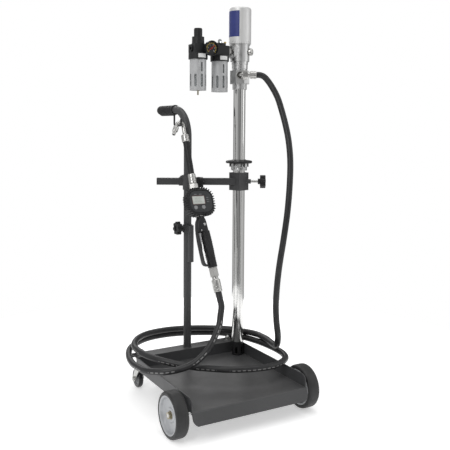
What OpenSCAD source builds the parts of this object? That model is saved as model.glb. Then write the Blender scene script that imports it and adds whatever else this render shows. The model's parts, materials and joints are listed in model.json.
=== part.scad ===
// Wheeled drum cart with an air-operated oil pump, filter-regulator,
// lubricator, delivery hose and a metering gun hung on a hook.
// Millimetres. X is to the cart's right, Y to its rear, Z up, ground at Z = 0.

/* [Tray] */
// width of the tray over its side walls
tray_w = 400; // [396:1:404]
// height of the top of the tray floor above the ground
floor_z = 90; // [88:1:92]
// height of the side and rear walls above the floor
wall_h = 38; // [30:1:40]
// thickness of the folded sheet
sheet = 3; // [2:0.5:3]

/* [Wheels] */
// diameter of the two fixed wheels
wheel_d = 137.6; // [130:0.2:138]
// width of the tyre
wheel_w = 40; // [36:1:40]
// diameter of the castor wheels
castor_d = 64; // [60:1:66]
// how far the castor wheel trails its stem
castor_trail = 36; // [32:1:40]

/* [Post and handle] */
// outside diameter of the handle tube
post_d = 26.9; // [25:0.1:26.9]
// height of the middle of the grip
grip_z = 958; // [940:1:990]
// bend radius of the handle tube
handle_r = 95; // [80:1:95]
// length of the grip
grip_len = 128; // [118:1:128]

/* [Pump arm] */
// angle of the arm, turned towards the front of the cart
arm_yaw = 29; // [29:1:29]
// height of the arm above the ground
arm_z = 708.5; // [705:0.5:712]
// thickness of the arm bar
arm_w = 24; // [22:1:24]
// height of the arm bar
arm_h = 23.5; // [20:0.5:24]
// side of the square clamp tube round the pump
block_w = 48; // [47:0.5:50]

/* [Pump] */
// diameter of the suction tube
tube_d = 42; // [42:0.5:42]
// diameter of the air motor's cap
cap_d = 77; // [74:1:78]

/* [Air treatment] */
// diameter of the bowl guards
guard_d = 55.6; // [52:0.2:56]
// diameter of the gauge
gauge_d = 50; // [40:1:50]

/* [Gun and hose] */
// outside diameter of the hose
hose_d = 20.6; // [19:0.2:20.6]
// width of the meter over its rubber guard
meter_w = 101; // [98:1:103]
// lean of the hanging gun, its foot towards the front
gun_tilt = 20.8; // [20.8:0.1:20.8]

/* [Hidden] */
$fn = 64;

// where the cart's own zero sits from the model's origin
off_x = -8.46;
off_y = 13.5;
e = 0.01;

// tray
tw = tray_w / 2;
front_y = -332;
rear_y = 72;
flange_y = 122;
rim_z = floor_z + wall_h;
castor_x = 168;
castor_y = 103;
// wheels
axle_y = -272;
wr = wheel_d / 2;
face_x = 249.4;
in_x = face_x - wheel_w;
cr = castor_d / 2;
// post
post_y = 95;
pr = post_d / 2;
pi_r = pr - 2;
// arm and pump, in the arm's own directions
arm_v = 28.5;
pump_u = 178;
pump_v = 38;
pump_x = pump_u * cos(arm_yaw) + pump_v * sin(arm_yaw);
pump_y = post_y - pump_u * sin(arm_yaw) + pump_v * cos(arm_yaw);
tr = tube_d / 2;
foot_z = floor_z + 0.6;
out_z = 1075;
// air treatment, to the left of the pump
reg_x = -163;
lub_x = -80;
gr = guard_d / 2;
air_z = 1158;
gauge_x = -133;
// gun: the middle of its meter, the spout's axis and the grip's lean
gun_at = [-14, -14.6, 649.2];
gun_x = -10;
grip_lean = 3.4;
handle_end = 320;
knob_u = 40;
holder_y = post_y - pr - 0.5 - 10.3;

module place() translate([off_x, off_y, 0]) children();
module on_arm() place() translate([0, post_y, 0]) rotate([0, 0, -arm_yaw]) children();
module at_pump() on_arm() translate([pump_u, pump_v, 0]) children();
module at_motor() place() translate([pump_x, pump_y, 0]) children();
module at_gun() place() translate(gun_at) rotate([-gun_tilt, 0, 0]) children();
module at_grip() at_gun() translate([4.5, 0, -100]) rotate([0, -grip_lean, 0]) children();
module at_tip() at_gun() translate([gun_x - 11.5 + 11.5 * cos(152), 0, 270 + 11.5 * sin(152)]) rotate([0, 28, 0]) children();
module along_x() rotate([0, 90, 0]) children();
module along_y() rotate([-90, 0, 0]) children();
module ring(ro, ri, h) difference() { cylinder(r = ro, h = h); translate([0, 0, -1]) cylinder(r = ri, h = h + 2); }
module hexagon(af, h) cylinder(d = af / cos(30), h = h, $fn = 6);
module both_sides() { children(); mirror([1, 0, 0]) children(); }

// a star knob on the end of a threaded stud; the stud points along -Z from the knob's back face
module star_knob(d, h, stud_d, stud_l, hub_l) {
  r = d / 2;
  difference() {
    union() {
      cylinder(r = r * 0.76, h = h);
      for (i = [0 : 6]) rotate([0, 0, i * 360 / 7]) translate([r * 0.74, 0, 0]) cylinder(r = r * 0.26, h = h, $fn = 24);
    }
    translate([0, 0, h - 3]) cylinder(r = r * 0.42, h = 4);
  }
  translate([0, 0, -hub_l]) cylinder(r = r * 0.42, h = hub_l);
  translate([0, 0, -hub_l - stud_l]) cylinder(d = stud_d, h = stud_l);
}

// ---------- chassis ----------
gap = 0.02;
fy = front_y + 0.5 + gap;
module tray() color([0.27, 0.28, 0.29]) place() {
  // floor
  translate([-tw + sheet + gap, fy, floor_z - sheet]) cube([tray_w - 2 * sheet - 2 * gap, rear_y - gap - fy, sheet]);
  // side walls with a rounded front end
  both_sides() translate([tw - sheet, 0, 0]) rotate([90, 0, 90]) linear_extrude(sheet) union() {
    translate([fy + 20, floor_z - sheet]) square([rear_y - gap - fy - 20, wall_h + sheet]);
    translate([fy, floor_z - sheet]) square([20.5, wall_h + sheet - 20]);
    translate([fy + 20, rim_z - 20]) circle(r = 20);
  }
  // rear wall, flange and its turned-down lip
  translate([-tw, rear_y, floor_z - sheet]) cube([tray_w, sheet, wall_h - gap]);
  difference() {
    translate([-tw, rear_y, rim_z - sheet]) cube([tray_w, flange_y - sheet - gap - rear_y, sheet]);
    for (s = [-1, 1]) translate([s * castor_x, castor_y, rim_z - 6]) cylinder(d = 10.4, h = 10);
  }
  translate([-tw, flange_y - sheet, rim_z - 14.4]) cube([tray_w, sheet, 14.4]);
  // sloping front lip with rounded lower corners
  intersection() {
    rotate([90, 0, 90]) translate([0, 0, -tw]) linear_extrude(tray_w)
      polygon([[front_y + 0.5, floor_z], [front_y + 0.5, floor_z - sheet], [front_y - 12, floor_z - 39], [front_y - 15, floor_z - 38], [front_y - 3, floor_z - 2]]);
    translate([0, front_y + 10, 0]) rotate([90, 0, 0]) linear_extrude(40) union() {
      translate([-tw, floor_z - 16]) square([tray_w, 20]);
      translate([-tw + 22, floor_z - 40]) square([tray_w - 44, 40]);
      for (s = [-1, 1]) translate([s * (tw - 22), floor_z - 17.5]) circle(r = 22);
    }
  }
}

module axle_brackets() color([0.27, 0.28, 0.29]) place() for (x = [-170, 165])
  translate([x, 0, 0]) rotate([90, 0, 90]) linear_extrude(5) difference() {
    polygon([[axle_y - 26, floor_z - sheet], [axle_y + 26, floor_z - sheet], [axle_y + 17, wr - 15], [axle_y - 17, wr - 15]]);
    translate([axle_y, wr]) circle(r = 10.05);
  }

module axle() color([0.62, 0.63, 0.64]) place() translate([0, axle_y, wr]) along_x() {
  translate([0, 0, -206]) cylinder(r = 10, h = 412);
  translate([0, 0, -247]) cylinder(r = 6, h = 494);
}

module axle_nuts() color([0.62, 0.57, 0.36]) place() both_sides() translate([0, axle_y, wr]) along_x() {
  translate([0, 0, face_x - 9.6]) difference() { hexagon(19, 7.2); translate([0, 0, -1]) cylinder(r = 6.03, h = 10); }
  translate([0, 0, face_x - 11.4]) ring(12, 6.03, 1.7);
}

module post_handle() color([0.24, 0.25, 0.26]) place() {
  bend_z = grip_z - handle_r;
  translate([0, post_y, rim_z]) ring(pr, pi_r, bend_z - rim_z);
  translate([0, post_y + handle_r, bend_z]) rotate([90, 0, -90]) rotate_extrude(angle = 90, $fn = 96)
    translate([handle_r, 0]) difference() { circle(r = pr); circle(r = pi_r); }
  translate([0, post_y + handle_r, grip_z]) along_y() ring(pr, pi_r, handle_end - 4 - post_y - handle_r);
}

module handle_grip() color([0.07, 0.07, 0.07]) place() difference() {
  translate([0, handle_end - grip_len, grip_z]) along_y()
    rotate_extrude() polygon([[pr + 0.05, 0], [pr + 2, 0], [pr + 3, 1.5], [pr + 3, grip_len - 9], [pr + 2.2, grip_len - 4], [pr + 0.9, grip_len - 1.5], [pr - 2, grip_len],
      [0, grip_len], [0, grip_len - 3], [pr + 0.05, grip_len - 3]]);
  // way for the hook's rod
  translate([hook_s[0], hook_s[1], grip_z - 30]) cylinder(r = hook_r + 0.4, h = 30);
}

// rod from under the handle, forward past the post to the gun
hook_s = [0, 201];
hook_z = 902;
hook_r = 3.25;
hook_tip = [-40, 66];
hook_dir = atan2(hook_tip[1] - hook_s[1], hook_tip[0] - hook_s[0]);
hook_len = norm(hook_tip - hook_s);
module gun_hook() color([0.08, 0.08, 0.08]) place() translate([hook_s[0], hook_s[1], 0]) rotate([0, 0, hook_dir]) {
  translate([0, 0, hook_z + 12]) cylinder(r = hook_r, h = grip_z - pr - hook_z - 12 + 0.6);
  translate([12, 0, hook_z + 12]) rotate([90, 0, 0]) rotate([0, 0, 180]) rotate_extrude(angle = 90) translate([12, 0]) circle(r = hook_r);
  translate([12, 0, hook_z]) along_x() cylinder(r = hook_r, h = hook_len - 24);
  translate([hook_len - 12, 0, hook_z + 12]) rotate([90, 0, 0]) rotate([0, 0, 270]) rotate_extrude(angle = 90) translate([12, 0]) circle(r = hook_r);
  translate([hook_len, 0, hook_z + 12]) cylinder(r = hook_r, h = 8);
  translate([hook_len, 0, hook_z + 20]) sphere(r = hook_r);
}

sl = arm_w / 2 + 0.3;
sh = arm_h / 2 + 0.3;
module arm_socket() color([0.24, 0.25, 0.26]) on_arm() {
  difference() {
    union() {
      translate([0, 0, 682]) cylinder(r = 16.85, h = 51);
      translate([-31, arm_v - sl - 2.2, arm_z - sh - 2.2]) cube([83, 2 * sl + 4.4, 2 * sh + 4.4]);
      translate([knob_u, 10, arm_z - 2]) rotate([-90, 0, 0]) cylinder(r = 8, h = 5);
      translate([0, 0, 727]) rotate([0, -90, 0]) cylinder(r = 5.5, h = 21);
    }
    translate([-40, arm_v - sl, arm_z - sh]) cube([100, 2 * sl, 2 * sh]);
    translate([0, 0, 670]) cylinder(r = pr + 0.05, h = 80);
    translate([knob_u, 0, arm_z - 2]) rotate([-90, 0, 0]) cylinder(r = 4.08, h = arm_v);
    translate([0, 0, 727]) rotate([0, -90, 0]) cylinder(r = 3, h = 30);
  }
  // set screw against the post
  translate([-pr - 0.35, 0, 727]) rotate([0, -90, 0]) cylinder(r = 2.95, h = 12);
}

module castor_stems() color([0.66, 0.67, 0.66]) place() for (s = [-1, 1]) translate([s * castor_x, castor_y, 0]) {
  translate([0, 0, 99]) cylinder(r = 9, h = 4.6);
  translate([0, 0, 103]) cylinder(r = 5, h = rim_z - 103 + 9);
  translate([0, 0, 113.1]) cylinder(r = 15.4, h = rim_z - sheet - 113.1);
  translate([0, 0, rim_z]) cylinder(r = 11, h = 1.6);
  translate([0, 0, rim_z + 1.6]) hexagon(17, 7);
  translate([0, 0, rim_z + 8]) sphere(r = 7);
}

module castor_fork() color([0.70, 0.71, 0.70]) {
  difference() {
    translate([-14.2, -18, 104]) cube([28.4, 38, 8.6]);
    translate([0, 0, 100]) cylinder(r = 5.08, h = 20);
    translate([-11.6, -30, 100]) cube([23.2, 60, 9.4]);
  }
  for (s = [-1, 1]) translate([s < 0 ? -14.2 : 11.6, 0, 0]) rotate([90, 0, 90]) linear_extrude(2.6) union() {
    polygon([[-18, 112], [20, 112], [15, 98], [castor_trail + 10, cr + 3], [castor_trail + 10, cr - 2], [castor_trail - 10, cr - 2], [-18, 94]]);
    translate([castor_trail, cr]) circle(r = 10);
  }
  // axle bolt
  translate([-19, castor_trail, cr]) along_x() cylinder(r = 4, h = 38);
  translate([-20, castor_trail, cr]) along_x() hexagon(13, 5.75);
  translate([14.25, castor_trail, cr]) along_x() hexagon(13, 5.75);
}
module castor_fork_left() place() translate([-castor_x, castor_y, 0]) castor_fork();
module castor_fork_right() place() translate([castor_x, castor_y, 0]) castor_fork();

module castor_wheel() {
  color([0.06, 0.06, 0.06]) along_x() rotate_extrude() polygon([[cr - 9, -8], [cr - 2, -8], [cr, -5], [cr, 5], [cr - 2, 8], [cr - 9, 8]]);
  color([0.5, 0.51, 0.52]) along_x() rotate_extrude() polygon([[4.08, -11], [10, -11], [11, -8.5], [14, -4], [cr - 11, -4], [cr - 10, -8], [cr - 9.03, -8],
    [cr - 9.03, 8], [cr - 10, 8], [cr - 11, 4], [14, 4], [11, 8.5], [10, 11], [4.08, 11]]);
}
module castor_wheel_left() place() translate([-castor_x, castor_y + castor_trail, cr]) castor_wheel();
module castor_wheel_right() place() translate([castor_x, castor_y + castor_trail, cr]) castor_wheel();

// ---------- wheels ----------
module tyre() color([0.12, 0.12, 0.12]) along_x() rotate_extrude($fn = 96)
  polygon([[wr - 12, in_x], [wr - 4.5, in_x], [wr, in_x + 5], [wr, face_x - 5], [wr - 4.5, face_x], [wr - 12, face_x]]);
module rim() color([0.62, 0.63, 0.65]) along_x() rotate_extrude($fn = 96)
  polygon([[6.08, in_x + 3], [17, in_x + 3], [18, in_x + 12], [wr - 19, in_x + 15], [wr - 17, in_x + 2], [wr - 12.03, in_x + 0.5], [wr - 12.03, face_x - 0.5],
    [wr - 16, face_x - 1.5], [wr - 18, face_x - 9], [wr - 22, face_x - 14], [26, face_x - 15], [19, face_x - 13], [16.5, face_x - 12], [6.08, face_x - 12]]);
module tyre_left() place() translate([0, axle_y, wr]) mirror([1, 0, 0]) tyre();
module rim_left() place() translate([0, axle_y, wr]) mirror([1, 0, 0]) rim();
module tyre_right() place() translate([0, axle_y, wr]) tyre();
module rim_right() place() translate([0, axle_y, wr]) rim();

// ---------- arm ----------
module arm_bar() color([0.24, 0.25, 0.26]) on_arm() difference() {
  translate([-106, arm_v - arm_w / 2, arm_z - arm_h / 2]) cube([106 + pump_u, arm_w, arm_h]);
  translate([-107, arm_v - arm_w / 2 + 2.5, arm_z - arm_h / 2 + 2.5]) cube([108 + pump_u, arm_w - 5, arm_h - 5]);
  translate([pump_u, pump_v, 0]) rotate([0, 0, 45]) translate([-block_w / 2 - e, -block_w / 2 - e, 600]) cube([block_w + 2 * e, block_w + 2 * e, 200]);
}
module arm_end_cap() color([0.05, 0.05, 0.05]) on_arm() translate([-106, arm_v, arm_z]) {
  translate([-2.5, -arm_w / 2, -arm_h / 2]) cube([2.49, arm_w, arm_h]);
  translate([-0.5, -arm_w / 2 + 2.55, -arm_h / 2 + 2.55]) cube([12, arm_w - 5.1, arm_h - 5.1]);
}
block_z = 678;
block_h = 62;
module clamp_block() color([0.24, 0.25, 0.26]) at_pump() difference() {
  union() {
    rotate([0, 0, 45]) translate([-block_w / 2, -block_w / 2, block_z]) cube([block_w, block_w, block_h]);
    translate([26, 0, arm_z]) along_x() cylinder(r = 8, h = 16);
  }
  rotate([0, 0, 45]) translate([-tr - 0.4, -tr - 0.4, block_z - 1]) cube([2 * tr + 0.8, 2 * tr + 0.8, block_h + 2]);
  translate([20, 0, arm_z]) along_x() cylinder(r = 4.33, h = 40);
}
module arm_knob() color([0.05, 0.05, 0.05]) on_arm() translate([knob_u, -3, arm_z - 2]) rotate([90, 0, 0]) star_knob(41, 15, 8, arm_v - arm_w / 2 + 3 - 0.35 - 5, 5);
module block_knob() color([0.05, 0.05, 0.05]) at_pump() translate([75, 0, arm_z]) along_x() star_knob(47, 18, 8.5, 75 - tr - 0.35 - 8, 8);

// ---------- spout holder on the post ----------
hz = 534;
module spout_holder() color([0.24, 0.25, 0.26]) place() difference() {
  union() {
    translate([0, post_y, hz]) cylinder(r = 17.4, h = 26);
    translate([-10.3, holder_y, hz]) cube([20.6, post_y - holder_y, 26]);
    translate([0, holder_y, 434]) cylinder(r = 10.3, h = hz + 26 - 434);
    translate([0, post_y, hz + 16]) rotate([0, -90, 0]) cylinder(r = 8, h = 23);
  }
  translate([0, post_y, hz - 1]) cylinder(r = pr + 0.06, h = 28);
  translate([0, holder_y, 430]) cylinder(r = 8.3, h = 130);
  // clear of the post below the collar
  translate([0, post_y, 430]) cylinder(r = pr + 0.4, h = hz - 430);
  translate([0, post_y, hz + 16]) rotate([0, -90, 0]) cylinder(r = 3.08, h = 30);
}
module holder_knob() color([0.05, 0.05, 0.05]) place() translate([-30, post_y, hz + 16]) rotate([0, -90, 0]) star_knob(46, 15, 6, 30 - pr - 0.35 - 5, 5);

// ---------- pump ----------
cap_z = 1183.4;
cap_top = 1306.9;
module motor_cap() color([0.80, 0.81, 0.82]) at_motor() rotate_extrude() {
  r = cap_d / 2;
  polygon(concat([[r - 3, cap_z + 0.1], [r, cap_z + 0.1], [r, cap_top - 9]], [for (a = [15 : 15 : 75]) [r - 9 + 9 * cos(a), cap_top - 9 + 9 * sin(a)]],
    [[r - 9, cap_top], [0, cap_top], [0, cap_top - 3], [r - 9, cap_top - 3], [r - 4.8, cap_top - 4.8], [r - 3, cap_top - 9]]));
}
module valve_body() color([0.74, 0.75, 0.76]) at_motor() difference() {
  union() {
    translate([0, 0, 1124]) cylinder(r = 33, h = cap_z - 1124);
    translate([0, 0, cap_z - 4]) cylinder(r = 35.2, h = 7);
    translate([0, 0, 1156]) rotate([0, -90, 0]) hexagon(46, 36);
  }
  translate([0, 0, 1100]) cylinder(r = 6.4, h = 100);
  translate([-36 - e, 0, 1156]) along_x() cylinder(r = 20, h = 8);
  translate([-30, 0, 1156]) along_x() cylinder(r = 8.05, h = 14);
  rotate([0, 0, -45]) translate([24, 0, 1156]) along_x() cylinder(r = 8.05, h = 12);
}
module silencer() color([0.68, 0.69, 0.70]) at_motor() rotate([0, 0, -45]) translate([25, 0, 1156]) along_x() rotate_extrude()
  polygon([[0, 0], [8, 0], [8, 8.4], [12.5, 8.4], [12.5, 15], [11.4, 18], [8, 20.6], [4, 21.8], [0, 22]]);
module pump_neck() color([0.70, 0.71, 0.72]) at_motor() rotate_extrude()
  polygon([[6.4, 1092.05], [25.5, 1092.05], [25.5, 1096], [27.4, 1098], [27.4, 1113], [28.8, 1115], [28.8, 1123.95], [6.4, 1123.95]]);
module outlet_block() color([0.72, 0.73, 0.74]) at_pump() difference() {
  union() {
    rotate([0, 0, 22.5]) translate([0, 0, 1047.6]) cylinder(r = 36, h = 44.4, $fn = 8);
    translate([0, 0, 1028]) cylinder(r = 24.8, h = 20);
  }
  translate([0, 0, 1027]) cylinder(r = tr + 0.02, h = 21.6);
  translate([0, 0, 1040]) cylinder(r = 16, h = 40);
  translate([0, 0, 1070]) cylinder(r = 6.4, h = 30);
  translate([0, -10, out_z]) rotate([90, 0, 0]) cylinder(r = 8.55, h = 40);
}
module outlet_elbow() at_pump() color([0.66, 0.67, 0.68]) {
  // elbow, swivel nut and the hose's crimped ferrule
  difference() {
    union() {
      translate([0, -24, out_z]) rotate([90, 0, 0]) cylinder(r = 8.5, h = 10);
      translate([0, -33.5, out_z]) rotate([90, 0, 0]) cylinder(r = 12.5, h = 3);
      translate([0, -33.5, out_z]) rotate([90, 0, 0]) cylinder(r = 10.5, h = 14.5);
      translate([0, -48, out_z]) sphere(r = 10.5);
      translate([0, -48, out_z]) along_x() cylinder(r = 9.5, h = 12);
    }
    translate([0, -20, out_z]) rotate([90, 0, 0]) cylinder(r = 5, h = 28);
    translate([0, -48, out_z]) along_x() cylinder(r = 5, h = 20);
  }
  translate([9.5, -48, out_z]) along_x() difference() { hexagon(27, 16); translate([0, 0, -1]) cylinder(r = 5, h = 20); }
  translate([25.5, -48, out_z]) along_x() ring(9, 5, 8);
  translate([33.5, -48, out_z]) along_x() rotate_extrude() polygon([[5, 0], [12, 0], [13, 1.5], [13, 5], [12.2, 6], [13, 7], [13, 12], [12.2, 13], [13, 14], [13, 19], [12.2, 20],
    [12.2, 21.4], [hose_d / 2 + 0.1, 21.4], [hose_d / 2 + 0.1, 19.5], [5, 19.5]]);
}
module suction_tube() color([0.80, 0.81, 0.82]) at_pump() difference() {
  translate([0, 0, 139]) cylinder(r = tr, h = 908.6);
  translate([0, 0, 130]) cylinder(r = tr - 2, h = 930);
  translate([0, 0, 173]) ring(tr + 1, tr - 0.35, 1);
}
module foot_valve() color([0.06, 0.06, 0.06]) at_pump() difference() {
  union() {
    translate([0, 0, foot_z]) cylinder(r = tr - 0.4, h = 139 - foot_z - e);
    translate([0, 0, 138]) cylinder(r = tr - 2.05, h = 10);
  }
  translate([0, 0, foot_z + 4]) cylinder(r = 16.5, h = 28);
  translate([0, 0, 118]) cylinder(r = 7, h = 40);
  translate([0, 0, 128]) cylinder(r = 12, h = 30);
  for (a = [0 : 60 : 300]) rotate([0, 0, a + 15]) {
    translate([10, -4.5, 101]) cube([15, 9, 15]);
    translate([10, 0, 101]) along_x() cylinder(r = 4.5, h = 15);
    translate([10, 0, 116]) along_x() cylinder(r = 4.5, h = 15);
  }
}
module foot_ball() color([0.75, 0.76, 0.78]) at_pump() translate([0, 0, 134.9]) sphere(r = 9);
module power_piston() color([0.60, 0.61, 0.62]) at_pump() {
  translate([0, 0, 230]) cylinder(r = 5.9, h = 1010);
  translate([0, 0, 215]) cylinder(r = tr - 2.1, h = 22);
  translate([0, 0, 1236]) cylinder(r = cap_d / 2 - 3.1, h = 12);
}
module bung_disc() color([0.07, 0.07, 0.07]) at_pump() translate([0, 0, 772.4]) rotate_extrude()
  polygon([[tr + 0.08, 0], [44, 0], [46, 1.6], [46, 6], [44.5, 8.6], [38, 10.6], [27, 11.4], [tr + 2, 13], [tr + 0.08, 13]]);
module bung_ring() color([0.62, 0.63, 0.64]) at_pump() difference() {
  union() {
    translate([0, 0, 760]) cylinder(r = 30.5, h = 12.39);
    for (a = [0 : 45 : 315]) rotate([0, 0, a]) translate([29, -5, 760]) cube([4.6, 10, 12.39]);
    translate([0, 0, 747.6]) cylinder(r = 28.3, h = 12.5);
  }
  translate([0, 0, 740]) cylinder(r = tr + 0.08, h = 40);
  rotate([0, 0, -80]) translate([tr, 0, 754]) along_x() cylinder(r = 2.6, h = 20);
}

// ---------- air treatment ----------
module regulator_body() color([0.09, 0.09, 0.09]) at_motor() difference() {
  union() {
    translate([reg_x - 24, -24, 1143.5]) cube([48, 48, 29]);
    translate([reg_x, 0, 1123]) cylinder(r = 32.3, h = 20.6);
    translate([reg_x + 23.5, -14, 1146]) cube([35.4, 28, 24]);
    translate([gauge_x, -13, air_z]) rotate([90, 0, 0]) cylinder(r = 7, h = 20);
    translate([reg_x - 28, 0, air_z]) along_x() hexagon(19, 5);
  }
  translate([reg_x - 29, 0, air_z]) along_x() cylinder(r = 5.72, h = 13);
  translate([reg_x, 0, 1120]) cylinder(r = 25.2, h = 8);
  translate([reg_x, 0, 1120]) cylinder(r = 5, h = 60);
}
module regulator_bonnet() color([0.09, 0.09, 0.09]) at_motor() translate([reg_x, 0, 1172.55]) rotate_extrude()
  polygon([[4, 0], [21.5, 0], [21.5, 4], [20.8, 5.5], [20.4, 24.4], [13.6, 24.4], [4, 24.4]]);
module regulator_knob() color([0.06, 0.06, 0.06]) at_motor() translate([reg_x, 0, 1197.4]) difference() {
  union() {
    cylinder(r = 13, h = 28, $fn = 48);
    for (i = [0 : 11]) rotate([0, 0, i * 30]) translate([12.4, 0, 2]) cylinder(r = 1.6, h = 23, $fn = 16);
  }
  translate([0, 0, 25]) cylinder(r = 9, h = 4);
}
module bowl_guard(h) difference() {
  translate([0, 0, -h]) cylinder(r = gr, h = h);
  translate([0, 0, 2.5 - h]) cylinder(r = gr - 2.2, h = h);
  translate([0, 0, -h - 1]) cylinder(r = 8, h = 5);
  for (a = [-90 : 45 : 225]) rotate([0, 0, a]) {
    translate([gr - 6, -4, -h + 16]) cube([12, 8, 34]);
    translate([gr - 6, 0, -h + 16]) along_x() cylinder(r = 4, h = 12, $fn = 32);
    translate([gr - 6, 0, -h + 50]) along_x() cylinder(r = 4, h = 12, $fn = 32);
  }
  for (a = [-90, 90]) rotate([0, 0, a]) translate([gr - 6, -3, -h + 62]) cube([12, 6, 30]);
}
module bowl_guards() color([0.10, 0.10, 0.10]) at_motor() {
  translate([reg_x, 0, 1122.7]) bowl_guard(103);
  translate([lub_x, 0, 1119.7]) bowl_guard(102.5);
  // release catch
  translate([reg_x - 12, -gr - 1.6, 1094]) cube([6, 4, 24]);
}
module bowls() color([0.80, 0.82, 0.84, 0.5]) at_motor() for (p = [[reg_x, 1127.5, 5.2], [lub_x, 1124.5, 0]]) translate([p[0], 0, p[1] - 100]) difference() {
  cylinder(r = 24.8, h = 100);
  translate([0, 0, 2]) cylinder(r = 23, h = 100);
  if (p[2] > 0) translate([0, 0, -1]) cylinder(r = p[2], h = 5);
}
module filter_element() color([0.9, 0.9, 0.86]) at_motor() translate([reg_x, 0, 1062]) difference() {
  ring(13, 9, 65.9);
  translate([0, 0, -1]) cylinder(r = 9, h = 3);
}
module drain_valve() color([0.07, 0.07, 0.07]) at_motor() translate([reg_x, 0, 0]) {
  translate([0, 0, 1004.7]) cylinder(r = 2.7, h = 17);
  translate([0, 0, 1021]) cylinder(r = 4.6, h = 13.7);
}
module lubricator_body() at_motor() {
  color([0.09, 0.09, 0.09]) difference() {
    union() {
      translate([lub_x - 24, -24, 1140.5]) cube([48, 48, 32]);
      translate([lub_x, 0, 1120]) cylinder(r = 31.8, h = 20.6);
      translate([lub_x, 0, 1172]) cylinder(r = 21, h = 9);
    }
    translate([lub_x, 0, 1117]) cylinder(r = 25.2, h = 8);
    translate([lub_x, 0, 1117]) cylinder(r = 5, h = 50);
  }
  color([0.7, 0.71, 0.72]) translate([lub_x + 24, 0, 1156]) along_x() { cylinder(r = 8, h = 38); translate([0, 0, 8]) hexagon(24, 9); }
  color([0.8, 0.83, 0.85]) translate([lub_x, 0, 1181]) { cylinder(r = 7.2, h = 8); translate([0, 0, 8]) sphere(r = 7.2); }
  color([0.72, 0.62, 0.35]) translate([lub_x + 14, -12, 1181]) cylinder(r = 4, h = 5);
}
module gauge_case() at_motor() translate([gauge_x, -33, air_z]) rotate([90, 0, 0]) {
  color([0.06, 0.06, 0.06]) difference() { cylinder(d = gauge_d, h = 12); translate([0, 0, 5]) cylinder(d = gauge_d - 5, h = 10); }
  color([0.9, 0.9, 0.88]) translate([0, 0, 5]) cylinder(d = gauge_d - 5.4, h = 0.6);
  color([0.6, 0.6, 0.6]) translate([0, 0, 5.5]) cylinder(r = 1.2, h = 3.4);
}
module gauge_needle() color([0.75, 0.08, 0.06]) at_motor() translate([gauge_x, -33, air_z]) rotate([90, 0, 0]) rotate([0, 0, 40]) translate([0, 0, 6.4]) difference() {
  union() { cylinder(r = 2.6, h = 1.2); translate([-13, -0.7, 0.1]) cube([30, 1.4, 0.8]); }
  translate([0, 0, -1]) cylinder(r = 1.28, h = 4);
}

// ---------- gun ----------
// the meter is a rounded square; its rubber guard carries ribs all round
mw = meter_w - 7;
mh = meter_w - 15;
mc = 31;
mz = -2;
module rounded(w, h, c) union() {
  square([w - 2 * c, h], center = true);
  square([w, h - 2 * c], center = true);
  for (x = [-1, 1], y = [-1, 1]) translate([x * (w / 2 - c), y * (h / 2 - c)]) circle(r = c, $fn = 96);
}
module slab(w, h, c, y0, y1) translate([0, y1, mz]) rotate([90, 0, 0]) linear_extrude(y1 - y0) rounded(w, h, c);
button_x = [-23.2, 5.8];
button_z = -21.5;
module meter_case() color([0.16, 0.16, 0.17]) at_gun() {
  difference() {
    union() {
      slab(mw - 12, mh - 12, mc - 6, -17, 17);
      slab(mw - 16, mh - 16, mc - 8, -18.5, -16);
      // outlet boss under the spout's union nut
      translate([gun_x, 0, 20]) cylinder(r = 10, h = 24.98);
    }
    translate([-31.1, -30, -10.4]) cube([44.7, 14, 27.4]);
    for (x = button_x) translate([x, -8, button_z]) rotate([90, 0, 0]) cylinder(r = 7, h = 20);
  }
}
module rib() translate([-1, -1.8, -13]) cube([4.5, 3.6, 26]);
module meter_guard() color([0.05, 0.05, 0.05]) at_gun() difference() {
  union() {
    difference() {
      slab(mw, mh, mc, -19, 20);
      slab(mw - 11.9, mh - 11.9, mc - 5.95, -20, 17.1);
      slab(mw - 20, mh - 20, mc - 10, 10, 30);
    }
    translate([0, 0, mz]) rotate([90, 0, 0]) {
      for (x = [-1, 1], y = [-1, 1], a = [7.5 : 15 : 82.5]) translate([x * (mw / 2 - mc), y * (mh / 2 - mc), 0]) rotate([0, 0, x * y > 0 ? a + (x < 0 ? 180 : 0) : -a + (x < 0 ? 180 : 0)])
        translate([mc, 0, 0]) rib();
      for (s = [-1, 1]) {
        for (x = [-12, -4, 4, 12]) translate([x, s * mh / 2, 0]) rotate([0, 0, s * 90]) rib();
        for (y = [-8.2, 0, 8.2]) translate([s * mw / 2, y, 0]) rotate([0, 0, s < 0 ? 180 : 0]) rib();
      }
    }
  }
  translate([gun_x, 0, 20]) cylinder(r = 10.1, h = 40);
  translate([-4, 0, -70]) cylinder(r = 14.3, h = 40);
}
module meter_screen() color([0.68, 0.70, 0.68]) at_gun() translate([-31, -18, -10.3]) cube([44.5, 2, 27.2]);
module button() { cylinder(r = 6.6, h = 7.4); }
module button_left() color([0.72, 0.73, 0.74]) at_gun() translate([button_x[0], -12.6, button_z]) rotate([90, 0, 0]) button();
module button_right() color([0.72, 0.73, 0.74]) at_gun() translate([button_x[1], -12.6, button_z]) rotate([90, 0, 0]) button();

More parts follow.
